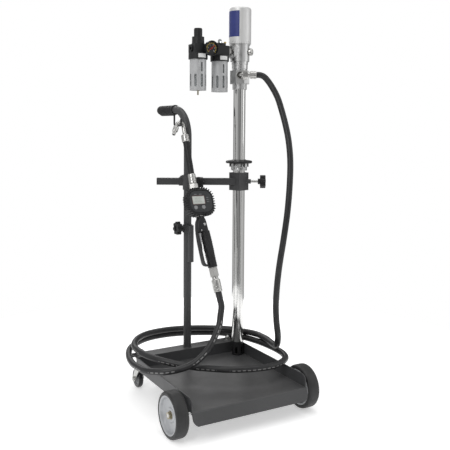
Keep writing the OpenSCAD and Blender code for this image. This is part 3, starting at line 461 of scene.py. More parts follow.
def revolve_bm(profile, segs=96, bm=None, mat_of=None):
    """turns a profile of (radius, height) round the z axis; mm in, metres out"""
    bm = bm or bmesh.new()
    rings = []
    for (r, h) in profile:
        if r < 1e-4:
            v = bm.verts.new((0, 0, h * MM))
            rings.append([v] * segs)
        else:
            rings.append([bm.verts.new((r * MM * math.cos(2 * pi * k / segs), r * MM * math.sin(2 * pi * k / segs), h * MM)) for k in range(segs)])
    for i in range(len(rings) - 1):
        a, b = rings[i], rings[i + 1]
        for k in range(segs):
            q = []
            for v in (a[k], a[(k + 1) % segs], b[(k + 1) % segs], b[k]):
                if v not in q:
                    q.append(v)
            if len(q) >= 3:
                try:
                    f = bm.faces.new(q)
                    if mat_of:
                        f.material_index = mat_of(i)
                except ValueError:
                    pass
    return bm

def revolve(name, profile, body, mat, mtx, node=None, segs=96, closed=True, smooth=35.0, mat_of=None, slot=None):
    prof = list(profile)
    if closed and prof[0] != prof[-1] and not (prof[0][0] < 1e-4 and prof[-1][0] < 1e-4):
        prof.append(prof[0])
    bm = revolve_bm(prof, segs, mat_of=mat_of)
    bmesh.ops.remove_doubles(bm, verts=bm.verts, dist=1e-7)
    bmesh.ops.recalc_face_normals(bm, faces=bm.faces)
    return link(name, finish_bm(bm, name), body, mat, node, mtx, smooth, slot)

def loft_bm(rings, bm=None, close=True, cap=True):
    """joins rings of points (metres or mm already scaled) by faces"""
    bm = bm or bmesh.new()
    vs = [[bm.verts.new(p) for p in ring] for ring in rings]
    n = len(vs[0])
    for i in range(len(vs) - 1):
        for k in range(n if close else n - 1):
            bm.faces.new((vs[i][k], vs[i][(k + 1) % n], vs[i + 1][(k + 1) % n], vs[i + 1][k]))
    if cap:
        bm.faces.new(list(reversed(vs[0])))
        bm.faces.new(vs[-1])
    return bm

def superring(cx, cy, cz, a, b, n=2.6, count=40, rot=0.0, plane='xy'):
    pts = []
    for k in range(count):
        t = 2 * pi * k / count
        c, s = math.cos(t), math.sin(t)
        x = a * math.copysign(abs(c) ** (2 / n), c)
        y = b * math.copysign(abs(s) ** (2 / n), s)
        pts.append(Vector((cx + x, cy + y, cz)) * MM)
    return pts

def prism_bm(outline, z0, z1, bm=None, bev=0.0, segs=3):
    """outline in mm in the xy plane, raised from z0 to z1, with rounded edges"""
    bm = bm or bmesh.new()
    lo = [bm.verts.new(Vector((x, y, z0)) * MM) for x, y in outline]
    hi = [bm.verts.new(Vector((x, y, z1)) * MM) for x, y in outline]
    n = len(outline)
    faces = [bm.faces.new(list(reversed(lo))), bm.faces.new(hi)]
    for k in range(n):
        faces.append(bm.faces.new((lo[k], lo[(k + 1) % n], hi[(k + 1) % n], hi[k])))
    bmesh.ops.recalc_face_normals(bm, faces=faces)
    if bev > 0:
        es = set(faces[0].edges) | set(faces[1].edges)
        bmesh.ops.bevel(bm, geom=list(es), offset=bev * MM, segments=segs, profile=0.5, affect='EDGES', clamp_overlap=True)
    return bm

def rounded_rect(w, h, r, n=6, cx=0.0, cy=0.0):
    pts = []
    for (sx, sy, a0) in ((1, 1, 0), (-1, 1, 90), (-1, -1, 180), (1, -1, 270)):
        for k in range(n + 1):
            a = rad(a0 + 90 * k / n)
            pts.append((cx + sx * (w / 2 - r) + r * math.cos(a), cy + sy * (h / 2 - r) + r * math.sin(a)))
    return pts

def circle(r, n=48, cx=0.0, cy=0.0):
    return [(cx + r * math.cos(2 * pi * k / n), cy + r * math.sin(2 * pi * k / n)) for k in range(n)]

def arc_pts(c, r, a0, a1, n):
    return [(c[0] + r * math.cos(rad(a0 + (a1 - a0) * k / n)), c[1] + r * math.sin(rad(a0 + (a1 - a0) * k / n))) for k in range(n + 1)]

# ------------------------------------------------------------------ the hose
HOSE_A = [(197.2, -25.8, 1075), (209.4, -32.6, 1075), (222, -40, 1069), (234, -51, 1051), (244, -63, 1028), (253, -77, 998), (259, -91, 960), (263, -112, 905), (263, -130, 855),
          (259, -147, 790), (249, -160, 710), (235, -169, 620), (222, -169, 535), (210, -161, 435), (205, -156, 360), (204, -154, 300), (204, -159, 250), (206, -165, 209), (210, -157, 180),
          (217, -136, 164), (227, -100, 160), (237, -52, 160), (238, -33, 160), (238, -15, 160)]
HOSE_B = [(238, -15, 160), (238, 3, 160), (232, 28, 160), (215, 62, 160), (188, 108, 160), (150, 142, 160), (104, 172, 160), (40, 201, 160), (-25, 215, 160), (-101, 206, 160), (-150, 175, 160),
          (-181, 135, 160), (-200, 90, 160), (-204, 40, 160), (-196, -15, 159), (-173, -65, 156), (-136, -103, 149), (-96, -136, 144), (-45, -173, 141), (0, -202, 139.5),
          (46, -222, 139), (97, -236, 139), (145, -236, 139), (188, -219, 139), (218, -193, 139), (234, -157, 139), (240, -108, 139), (239, -60, 139), (234, -15, 139), (224, 30, 139),
          (206, 80, 139), (182, 128, 139), (148, 162, 139), (105, 187, 139), (46, 212, 139), (-18, 226, 139), (-94, 219, 139), (-150, 188, 139), (-194, 143, 139), (-221, 90, 139),
          (-239, 32, 139), (-245, -10, 139), (-244.5, -34, 139.5), (-243, -52, 140)]
HOSE_C = [(-243, -52, 140), (-241.5, -70, 140.5), (-237, -86, 141), (-229, -102, 142), (-216, -119, 144), (-201, -137, 146.5), (-180, -151, 150), (-153.3, -162.6, 155), (-120.3, -174.4, 167), (-94.4, -179.3, 184.2), (-66.8, -178, 206.9), (-45.1, -172, 229.9), (-26.7, -163.4, 252.8), (-12.6, -155.9, 273.8), (-4.3, -147.8, 299.4), (3.2, -140.6, 327.2), (2.6, -130.7, 349.1), (2.3, -120.5, 370.3)]
HOSE_R = 10.3

def smooth_path(pts, step=4.0):
    """centripetal Catmull-Rom through the points, then even steps; returns points and the arc position of each input point"""
    P = [Vector(p) for p in pts]
    P = [P[0] * 2 - P[1]] + P + [P[-1] * 2 - P[-2]]
    out, marks, s = [], [0.0], 0.0
    last = P[1]
    out.append((0.0, last.copy()))
    for i in range(1, len(P) - 2):
        p0, p1, p2, p3 = P[i - 1:i + 3]
        t0 = 0.0
        t1 = t0 + (p1 - p0).length ** 0.5
        t2 = t1 + (p2 - p1).length ** 0.5
        t3 = t2 + (p3 - p2).length ** 0.5
        n = max(6, int((p2 - p1).length / 1.5))
        for k in range(1, n + 1):
            t = t1 + (t2 - t1) * k / n
            a1 = p0 * ((t1 - t) / (t1 - t0)) + p1 * ((t - t0) / (t1 - t0))
            a2 = p1 * ((t2 - t) / (t2 - t1)) + p2 * ((t - t1) / (t2 - t1))
            a3 = p2 * ((t3 - t) / (t3 - t2)) + p3 * ((t - t2) / (t3 - t2))
            b1 = a1 * ((t2 - t) / (t2 - t0)) + a2 * ((t - t0) / (t2 - t0))
            b2 = a2 * ((t3 - t) / (t3 - t1)) + a3 * ((t - t1) / (t3 - t1))
            q = b1 * ((t2 - t) / (t2 - t1)) + b2 * ((t - t1) / (t2 - t1))
            s += (q - last).length
            last = q
            out.append((s, q))
        marks.append(s)
    return out, marks

def resample(dense, s0, s1, step):
    n = max(2, int(round((s1 - s0) / step)))
    res, j = [], 0
    for k in range(n + 1):
        s = s0 + (s1 - s0) * k / n
        while j < len(dense) - 2 and dense[j + 1][0] < s:
            j += 1
        a, b = dense[j], dense[j + 1]
        w = 0.0 if b[0] == a[0] else (s - a[0]) / (b[0] - a[0])
        res.append(a[1].lerp(b[1], min(1.0, max(0.0, w))))
    return res

dense, marks = smooth_path(HOSE_A + HOSE_B[1:] + HOSE_C[1:])
sJ1, sJ2, sEnd = marks[len(HOSE_A) - 1], marks[len(HOSE_A) + len(HOSE_B) - 2], marks[-1]
parts3 = [(0.0, sJ1), (sJ1, sJ2), (sJ2, sEnd)]
lines = [resample(dense, a, b, 4.0) for a, b in parts3]
whole = lines[0] + lines[1][1:] + lines[2][1:]
dirs = []
for i in range(len(whole)):
    d = whole[min(i + 1, len(whole) - 1)] - whole[max(i - 1, 0)]
    dirs.append(d.normalized())
nrm = [dirs[0].cross(Vector((0, 0, 1))).normalized()]
for i in range(1, len(whole)):
    n = nrm[-1] - dirs[i] * nrm[-1].dot(dirs[i])
    nrm.append(n.normalized())
arcs = [0.0]
for i in range(1, len(whole)):
    arcs.append(arcs[-1] + (whole[i] - whole[i - 1]).length)

def hose_piece(name, i0, i1, cap0, cap1):
    SEG = 32
    bm = bmesh.new()
    uv = bm.loops.layers.uv.new("UVMap")
    rings = []
    for i in range(i0, i1 + 1):
        d, n = dirs[i], nrm[i]
        b = d.cross(n)
        ring = []
        for k in range(SEG):
            a = 2 * pi * k / SEG
            ring.append(bm.verts.new((whole[i] + (n * math.cos(a) + b * math.sin(a)) * HOSE_R) * MM))
        rings.append(ring)
    for i in range(len(rings) - 1):
        for k in range(SEG):
            f = bm.faces.new((rings[i][k], rings[i][(k + 1) % SEG], rings[i + 1][(k + 1) % SEG], rings[i + 1][k]))
            s0, s1 = arcs[i0 + i] * MM, arcs[i0 + i + 1] * MM
            for lp, (u, v) in zip(f.loops, ((k / SEG, s0), ((k + 1) / SEG, s0), ((k + 1) / SEG, s1), (k / SEG, s1))):
                lp[uv].uv = (u, v)
    if cap0:
        bm.faces.new(list(reversed(rings[0])))
    if cap1:
        bm.faces.new(rings[-1])
    bmesh.ops.recalc_face_normals(bm, faces=bm.faces)
    me = finish_bm(bm, name)
    me.transform(CART)
    return me

def hose_material():
    m = bpy.data.materials.new("hose_cover")
    m.use_nodes = True
    nt = m.node_tree
    nd, ln = nt.nodes, nt.links
    b = nd["Principled BSDF"]
    b.inputs["Specular IOR Level"].default_value = 0.45
    uv = nd.new("ShaderNodeUVMap")
    sep = nd.new("ShaderNodeSeparateXYZ")
    ln.new(uv.outputs["UV"], sep.inputs["Vector"])
    def math_(op, a, bb=None, clamp=False):
        n = nd.new("ShaderNodeMath")
        n.operation = op
        n.use_clamp = clamp
        for i, v in enumerate((a, bb)):
            if v is None:
                continue
            if isinstance(v, (int, float)):
                n.inputs[i].default_value = v
            else:
                ln.new(v, n.inputs[i])
        return n.outputs[0]
    u, v = sep.outputs["X"], sep.outputs["Y"]
    # the wrap's fabric imprint: fine crossing spirals
    s1 = math_('SINE', math_('ADD', math_('MULTIPLY', u, 2 * pi * 26), math_('MULTIPLY', v, 2600)))
    s2 = math_('SINE', math_('SUBTRACT', math_('MULTIPLY', u, 2 * pi * 26), math_('MULTIPLY', v, 2600)))
    weave = math_('MAXIMUM', s1, s2)
    # shallow tape wrap lines every 45 mm
    wrap = math_('SINE', math_('ADD', math_('MULTIPLY', v, 2 * pi / 0.045), math_('MULTIPLY', u, 2 * pi)))
    wrapl = math_('GREATER_THAN', wrap, 0.985)
    hgt = math_('SUBTRACT', math_('MULTIPLY', weave, 0.35), math_('MULTIPLY', wrapl, 0.5))
    bp = nd.new("ShaderNodeBump")
    bp.inputs["Strength"].default_value = 0.35
    bp.inputs["Distance"].default_value = 0.00012
    ln.new(hgt, bp.inputs["Height"])
    ln.new(bp.outputs["Normal"], b.inputs["Normal"])
    co = nd.new("ShaderNodeTexCoord")
    no = nd.new("ShaderNodeTexNoise")
    no.inputs["Scale"].default_value = 35
    no.inputs["Detail"].default_value = 5
    ln.new(co.outputs["Object"], no.inputs["Vector"])
    rp = nd.new("ShaderNodeValToRGB")
    rp.color_ramp.elements[0].position = 0.35
    rp.color_ramp.elements[0].color = (0.015, 0.015, 0.016, 1)
    rp.color_ramp.elements[1].position = 0.7
    rp.color_ramp.elements[1].color = (0.024, 0.024, 0.025, 1)
    ln.new(no.outputs["Fac"], rp.inputs["Fac"])
    # plain lay line: even pale dashes along one side, worn off in places
    du = math_('ABSOLUTE', math_('SUBTRACT', u, LAY_U))
    in_u = math_('LESS_THAN', du, 0.026)
    bars = math_('GREATER_THAN', math_('SINE', math_('MULTIPLY', v, 2 * pi / 0.016)), -0.35)
    n3 = nd.new("ShaderNodeTexNoise")
    n3.noise_dimensions = '1D'
    n3.inputs["Scale"].default_value = 9.0
    n3.inputs["Detail"].default_value = 0.0
    ln.new(v, n3.inputs["W"])
    seg = math_('GREATER_THAN', n3.outputs["Fac"], 0.46)
    fac = math_('MULTIPLY', math_('MULTIPLY', in_u, bars), math_('MULTIPLY', seg, 0.42))
    mx = nd.new("ShaderNodeMix")
    mx.data_type = 'RGBA'
    ln.new(fac, mx.inputs[0])
    ln.new(rp.outputs["Color"], mx.inputs[6])
    mx.inputs[7].default_value = (0.55, 0.55, 0.54, 1)
    ln.new(mx.outputs[2], b.inputs["Base Color"])
    mr = nd.new("ShaderNodeMapRange")
    mr.inputs["To Min"].default_value = 0.34
    mr.inputs["To Max"].default_value = 0.50
    ln.new(no.outputs["Fac"], mr.inputs["Value"])
    ln.new(mr.outputs["Result"], b.inputs["Roughness"])
    return m

LAY_U = 0.70
M["hose"] = hose_material()
iJ1, iJ2 = len(lines[0]) - 1, len(lines[0]) + len(lines[1]) - 2
hose_sets = [("hose_drop", 0, iJ1, True, False), ("hose_coil", iJ1, iJ2, False, False), ("hose_tail", iJ2, len(whole) - 1, False, True)]
hoses = {}
for nm, i0, i1, c0, c1 in hose_sets:
    me = hose_piece(nm + "_tube", i0, i1, c0, c1)
    hoses[nm] = (me, [CART @ (p * MM) for p in whole[i0:i1 + 1]])
HOSE_LENGTH = arcs[-1] * MM

# ------------------------------------------------------------------ cart
def box_bm(x0, x1, y0, y1, z0, z1, bm=None):
    return prism_bm([(x0, y0), (x1, y0), (x1, y1), (x0, y1)], z0, z1, bm)

def side_bm(outline, x0, x1):
    """outline of (y, z) points raised along x"""
    bm = prism_bm(outline, x0, x1)
    bm.transform(Matrix(((0, 0, 1, 0), (1, 0, 0, 0), (0, 1, 0, 0), (0, 0, 0, 1))))
    return bm

def joined(parts, op='UNION', solver='EXACT'):
    """one mesh of several closed ones"""
    objs = []
    for i, bm in enumerate(parts):
        o = bpy.data.objects.new("part%d" % i, finish_bm(bm, "part%d" % i))
        bpy.context.scene.collection.objects.link(o)
        objs.append(o)
    a = objs[0]
    for b in objs[1:]:
        m = a.modifiers.new("j", 'BOOLEAN')
        m.operation = op
        m.solver = solver
        m.object = b
    dg = bpy.context.evaluated_depsgraph_get()
    me = bpy.data.meshes.new_from_object(a.evaluated_get(dg))
    for o in objs:
        d = o.data
        bpy.data.objects.remove(o)
        bpy.data.meshes.remove(d)
    return me

def tray():
    """one folded sheet: floor, side walls, rear wall with its flange, sloping front lip"""
    fz, rz, tw, fy, ry, ly = 90.0, 128.0, 200.0, -332.0, 72.0, 122.0
    wall = [(fy, fz - 3), (ry + 3, fz - 3), (ry + 3, rz)] + [(fy + 20 + 20 * math.cos(rad(a)), rz - 20 + 20 * math.sin(rad(a))) for a in range(90, 181, 9)]
    parts = [box_bm(-tw, tw, fy, ry + 3, fz - 3, fz), side_bm(wall, tw - 3, tw), side_bm(wall, -tw, -tw + 3), box_bm(-tw, tw, ry, ry + 3, fz - 3, rz),
             box_bm(-tw, tw, ry, ly, rz - 3, rz), box_bm(-tw, tw, ly - 3, ly, rz - 14.4, rz)]
    me = joined(parts)
    bm = bmesh.new()
    bm.from_mesh(me)
    bpy.data.meshes.remove(me)
    bmesh.ops.remove_doubles(bm, verts=bm.verts, dist=2e-6)
    bmesh.ops.dissolve_limit(bm, angle_limit=rad(0.6), verts=bm.verts, edges=bm.edges)
    es = [e for e in bm.edges if len(e.link_faces) == 2 and e.calc_face_angle(0.0) > rad(20)]
    bmesh.ops.bevel(bm, geom=es, offset=0.9 * MM, segments=3, profile=0.6, affect='EDGES', clamp_overlap=True)
    bmesh.ops.recalc_face_normals(bm, faces=bm.faces)
    link("tray_sheet", finish_bm(bm, "tray_sheet"), "chassis", "tray", "tray", CART, 45, weighted=True)
    # the sloping front lip
    bm = bmesh.new()
    bm.from_mesh(N["tray"].data)
    inv = CART.inverted()
    bmesh.ops.delete(bm, geom=[f for f in bm.faces if (inv @ f.calc_center_median()).y / MM > -331.49], context='FACES')
    bmesh.ops.remove_doubles(bm, verts=bm.verts, dist=2e-6)
    bmesh.ops.dissolve_limit(bm, angle_limit=rad(0.6), verts=bm.verts, edges=bm.edges)
    es = [e for e in bm.edges if len(e.link_faces) == 2 and e.calc_face_angle(0.0) > rad(20)]
    bmesh.ops.bevel(bm, geom=es, offset=0.6 * MM, segments=2, profile=0.6, affect='EDGES', clamp_overlap=True)
    bmesh.ops.recalc_face_normals(bm, faces=bm.faces)
    me = finish_bm(bm, "lip")
    me.materials.clear()
    for p in me.polygons:
        p.material_index = 0
    link("tray_front_lip", me, "chassis", "tray", None, None, 45, weighted=True)
tray()
soften("axle_brackets", "paint", 0.5, 2)
soften("arm_socket", "paint", 0.8, 3)
soften("arm_bar", "paint", 1.4, 4)
soften("arm_end_cap", "black", 0.9, 3)
soften("clamp_block", "paint", 1.3, 4)
keep("post_handle", "paint")
keep("gun_hook", "black_paint")
keep("axle", "steel")
# the axle nuts' darkened yellow zinc paints the shade of the hub hole they sit in
soften("axle_nuts", "zinc_yellow", 0.5, 2)
soften("castor_stems", "zinc", 0.5, 2)
soften("castor_fork_left", "zinc", 0.5, 2)
soften("castor_fork_right", "zinc", 0.5, 2)
soften("spout_holder", "paint", 0.6, 3)
def knob(node, name, frame, hub, width):
    """star knob in black plastic on its bright stud"""
    o = soften(node, ["black", "zinc"], width, 4, name=name)
    inv = frame.inverted()
    for p in o.data.polygons:
        p.material_index = 1 if (inv @ p.center).z / MM < -hub - 0.15 else 0
knob("arm_knob", "arm_knob_star", ARM @ T(40, -3, 706.5) @ ALONG_NY, 5, 1.3)
knob("block_knob", "block_knob_star", PUMP @ T(75, 0, 708.5) @ ALONG_X, 8, 1.5)
knob("holder_knob", "holder_knob_star", CART @ T(-30, 95, 550) @ ALONG_NX, 5, 1.3)

# weld bead where the post stands on the tray
def bead(name, r, z, mtx, body, mat="paint", tube=1.9, segs=72, seed=1):
    rnd = random.Random(seed)
    bm = bmesh.new()
    rings = []
    for k in range(segs):
        a = 2 * pi * k / segs
        t = tube * (1 + 0.16 * math.sin(k * 2.1) + 0.08 * rnd.uniform(-1, 1))
        ring = []
        for j in range(10):
            b = 2 * pi * j / 10
            ring.append(bm.verts.new(Vector(((r + t * math.cos(b)) * math.cos(a), (r + t * math.cos(b)) * math.sin(a), z + t * 0.8 * math.sin(b))) * MM))
        rings.append(ring)
    for k in range(segs):
        for j in range(10):
            bm.faces.new((rings[k][j], rings[k][(j + 1) % 10], rings[(k + 1) % segs][(j + 1) % 10], rings[(k + 1) % segs][j]))
    bmesh.ops.recalc_face_normals(bm, faces=bm.faces)
    return link(name, finish_bm(bm, name), body, mat, None, mtx, 180)

bead("post_weld", 13.6, 128.6, CART @ T(0, 95, 0), "chassis")

# grip: soft sleeve with rings round it and finger waves below
def grip():
    L, rows, cols = 128.0, 260, 72
    rings = []
    for i in range(rows + 1):
        s = L * i / rows
        ring = []
        for k in range(cols):
            a = 2 * pi * k / cols          # 0 = up
            r = 16.4
            if s < 6:                      # collar by the tube
                r = 17.6 - 1.2 * max(0, (s - 4) / 2)
                if s < 1.2:
                    r -= (1.2 - s) * 1.2
            elif s > L - 12:
                q = (s - (L - 12)) / 12
                r = 16.4 - 0.4 * q - 3.4 * q ** 5
            else:
                below = max(0.0, -math.cos(a)) ** 1.3
                fade = min(1.0, (s - 6) / 6, (L - 12 - s) / 6)
                r += (2.3 + 2.3 * math.sin((s - 10) / (L - 24) * 2 * pi * 7.0 - pi / 2)) * below * fade
                ridge = (s % 4.4) / 4.4
                side = 0.35 + 0.65 * abs(math.sin(a))
                r += (0.42 * side * (1 if ridge < 0.55 else 0) - 0.2) * fade
            ring.append(Vector((r * math.sin(a), s, r * math.cos(a))) * MM)
        rings.append(ring)
    bm = loft_bm(rings, cap=False)
    bm.verts.ensure_lookup_table()
    n = len(rings)
    # closed end and hollow front
    end = [v for v in bm.verts][(n - 1) * cols:]
    c = bm.verts.new(Vector((0, L, 0)) * MM)
    mid = [bm.verts.new(Vector((9 * math.sin(2 * pi * k / cols), L - 0.2, 9 * math.cos(2 * pi * k / cols))) * MM) for k in range(cols)]
    for k in range(cols):
        bm.faces.new((end[k], end[(k + 1) % cols], mid[(k + 1) % cols], mid[k]))
        bm.faces.new((mid[k], mid[(k + 1) % cols], c))
    bm.verts.ensure_lookup_table()
    first = bm.verts[:cols]
    inner = [bm.verts.new(Vector((13.55 * math.sin(2 * pi * k / cols), 0, 13.55 * math.cos(2 * pi * k / cols))) * MM) for k in range(cols)]
    deep = [bm.verts.new(Vector((13.55 * math.sin(2 * pi * k / cols), 124, 13.55 * math.cos(2 * pi * k / cols))) * MM) for k in range(cols)]
    for k in range(cols):
        bm.faces.new((first[k], inner[k], inner[(k + 1) % cols], first[(k + 1) % cols]))
        bm.faces.new((inner[k], deep[k], deep[(k + 1) % cols], inner[(k + 1) % cols]))
    bm.faces.new(deep)
    bmesh.ops.recalc_face_normals(bm, faces=bm.faces)
    return link("grip_sleeve", finish_bm(bm, "grip_sleeve"), "chassis", "grip", "handle_grip", CART @ T(0, 192, 958), 50)
grip()

# ------------------------------------------------------------------ wheels
WR, IN, FA = 68.8, 209.4, 249.4
tyre_prof = fillet([(WR - 12, IN), (WR - 4.5, IN), (WR, IN + 5), (WR, FA - 5), (WR - 4.5, FA), (WR - 12, FA)], [0, 3, 4, 4, 3, 0], 5)
tyre_prof2 = []
for (r, h) in tyre_prof:
    tyre_prof2.append((r, h))
def tyre_profile():
    mid = (IN + FA) / 2
    p = [(WR - 12.0, IN + 0.4), (WR - 9.8, IN + 0.1), (WR - 9.3, IN - 0.35 + 0.4), (WR - 8.6, IN + 0.1), (WR - 5.0, IN + 0.2), (WR - 3.4, IN + 1.2), (WR - 1.3, IN + 3.6), (WR - 0.35, IN + 6.2), (WR, IN + 10),
         (WR, mid - 0.8), (WR + 0.0, mid - 0.25), (WR, mid + 0.25), (WR, mid + 0.8),
         (WR, FA - 10), (WR - 0.35, FA - 6.2), (WR - 1.3, FA - 3.6), (WR - 3.4, FA - 1.2), (WR - 5.0, FA - 0.2), (WR - 8.6, FA - 0.1), (WR - 9.3, FA - 0.05), (WR - 9.8, FA - 0.1), (WR - 12.0, FA - 0.4)]
    return p
rim_prof = fillet([(6.08, IN + 3), (17, IN + 3), (18, IN + 12), (WR - 20, IN + 15), (WR - 17, IN + 2), (WR - 12.03, IN + 0.5), (WR - 12.03, FA - 0.5),
                   (WR - 13.6, FA - 0.5), (WR - 16.2, FA - 2.4), (WR - 18.5, FA - 9.5), (WR - 22, FA - 14), (29, FA - 15), (22.5, FA - 14.2), (19.5, FA - 10.8), (13.5, FA - 10.4), (12.6, FA - 12), (6.08, FA - 12)],
                  [0, 1, 2, 3, 2, 0.6, 0.5, 0.8, 2, 2.5, 4, 4, 3, 1.2, 1, 0.5, 0], 4, closed=False)
for side, k in ((-1, "left"), (1, "right")):
    mx = CART @ T(0, -272, WR) @ (Matrix.Scale(-1, 4, (1, 0, 0)) if side < 0 else Matrix.Identity(4)) @ ALONG_X
    revolve("tyre_%s_ring" % k, tyre_profile(), "wheel_" + k, "tyre", mx, "tyre_" + k, 144, smooth=50)
    revolve("rim_%s_disc" % k, rim_prof, "wheel_" + k, "rim", mx, "rim_" + k, 128, smooth=40)
    # castor wheels: black tread on a grey centre
    cx = CART @ T(168 * side, 139, 32) @ ALONG_X
    cr = 32
    prof = [(4.08, -11), (8.5, -11), (9.6, -10.4), (10.2, -8.6), (13.5, -4.4), (19.5, -4.2), (21.4, -7.2), (22.4, -8.0), (22.97, -8.0), (22.97, 8.0), (22.4, 8.0), (21.4, 7.2), (19.5, 4.2), (13.5, 4.4), (10.2, 8.6), (9.6, 10.4), (8.5, 11), (4.08, 11)]
    bm = revolve_bm(prof + [prof[0]], 72, mat_of=lambda i: 1)
    tread = fillet([(23.0, -8), (29.4, -8), (32, -5), (32, 5), (29.4, 8), (23.0, 8)], [0, 1.4, 2, 2, 1.4, 0], 4)
    revolve_bm(tread + [tread[0]], 96, bm, mat_of=lambda i: 0)
    bmesh.ops.remove_doubles(bm, verts=bm.verts, dist=1e-7)
    bmesh.ops.recalc_face_normals(bm, faces=bm.faces)
    link("castor_wheel_%s_turned" % k, finish_bm(bm, "cw"), "castor_roll_" + k, ["black_gloss", "grey"], "castor_wheel_" + k, cx, 35)

# ------------------------------------------------------------------ pump
keep("suction_tube", "chrome")
keep("pump_neck", "alu_turned")
keep("power_piston", "steel")
keep("foot_ball", "steel")
soften("foot_valve", "black", 0.5, 2)
soften("outlet_block", "alu", 1.1, 3)
soften("outlet_elbow", "nickel", 0.5, 2, clamp=True)
soften("valve_body", "alu", 0.9, 3)
soften("silencer", "nickel", 0.5, 2)
R = 38.5
Z0, Z1 = 1183.5, 1306.9
cap_prof = [(R - 3, Z0)] + fillet([(R - 3, Z0), (R, Z0), (R, Z0 + 3.4), (R - 0.7, Z0 + 4.2), (R - 0.7, Z0 + 5.6), (R, Z0 + 6.4), (R, Z1 - 0.1), (0, Z1 - 0.0)],
                                  [0, 0.6, 0.3, 0.3, 0.3, 0.4, 9.5, 0], 8)[1:]
cap_prof += [(0, Z1 - 3), (R - 11, Z1 - 3.2), (R - 4.8, Z1 - 6), (R - 3, Z1 - 11), (R - 3, Z0)]
revolve("motor_cap_shell", cap_prof, "pump", "cap", MOTOR, "motor_cap", 128, closed=False, smooth=30)
disc = fillet([(21.08, 772.4), (43.4, 772.4), (46, 774.2), (46, 778.6), (44.2, 781.2), (37, 782.6), (26.6, 783.6), (23.4, 785.4), (21.08, 785.4)], [0, 1.2, 1, 1.5, 3, 6, 3, 1, 0], 5)
revolve("bung_disc_turned", disc, "bung", "black", MOTOR, "bung_disc", 96, smooth=50)
soften("bung_ring", "alu", 0.7, 2)

# ------------------------------------------------------------------ air treatment
RX, LX = -163.0, -80.0
soften("regulator_body", "black", 1.6, 4)
keep("regulator_bonnet", "black")
soften("regulator_knob", "black", 0.6, 2)
soften("bowl_guards", "guard_silver", 0.9, 3)
keep("bowls", "bowl")
keep("filter_element", "filter")
keep("drain_valve", "zinc_yellow")
soften("gauge_case", "black_gloss", 0.4, 2)
keep("gauge_needle", "red")

# lubricator: body, nipple, sight dome and filler screw in their own finishes
def lubricator():
    src = N["lubricator_body"].data
    bm = bmesh.new()
    bm.from_mesh(src)
    bmesh.ops.remove_doubles(bm, verts=bm.verts, dist=2e-6)
    bmesh.ops.dissolve_limit(bm, angle_limit=rad(0.6), verts=bm.verts, edges=bm.edges)
    es = [e for e in bm.edges if len(e.link_faces) == 2 and e.calc_face_angle(0.0) > rad(32)]
    bmesh.ops.bevel(bm, geom=es, offset=1.2 * MM, segments=3, profile=0.6, affect='EDGES', clamp_overlap=True)
    bmesh.ops.recalc_face_normals(bm, faces=bm.faces)
    o = MOTOR.inverted()
    for f in bm.faces:
        c = o @ f.calc_center_median() / MM
        if c.x > LX + 24.5 and abs(c.z - 1156) < 16:
            f.material_index = 1
        elif c.z > 1181.3 and (c.x - LX) ** 2 + c.y ** 2 < 8 ** 2:
            f.material_index = 2
        elif c.z > 1181.3 and c.x > LX + 8:
            f.material_index = 3
    me = finish_bm(bm, "lubricator_piece")
    idx = [p.material_index for p in me.polygons]
    me.materials.clear()
    o2 = link("lubricator_piece", me, "pump", ["black", "nickel", "bowl", "brass"], "lubricator_body", smooth=45, weighted=True)
    for p, i in zip(o2.data.polygons, idx):
        p.material_index = i
lubricator()
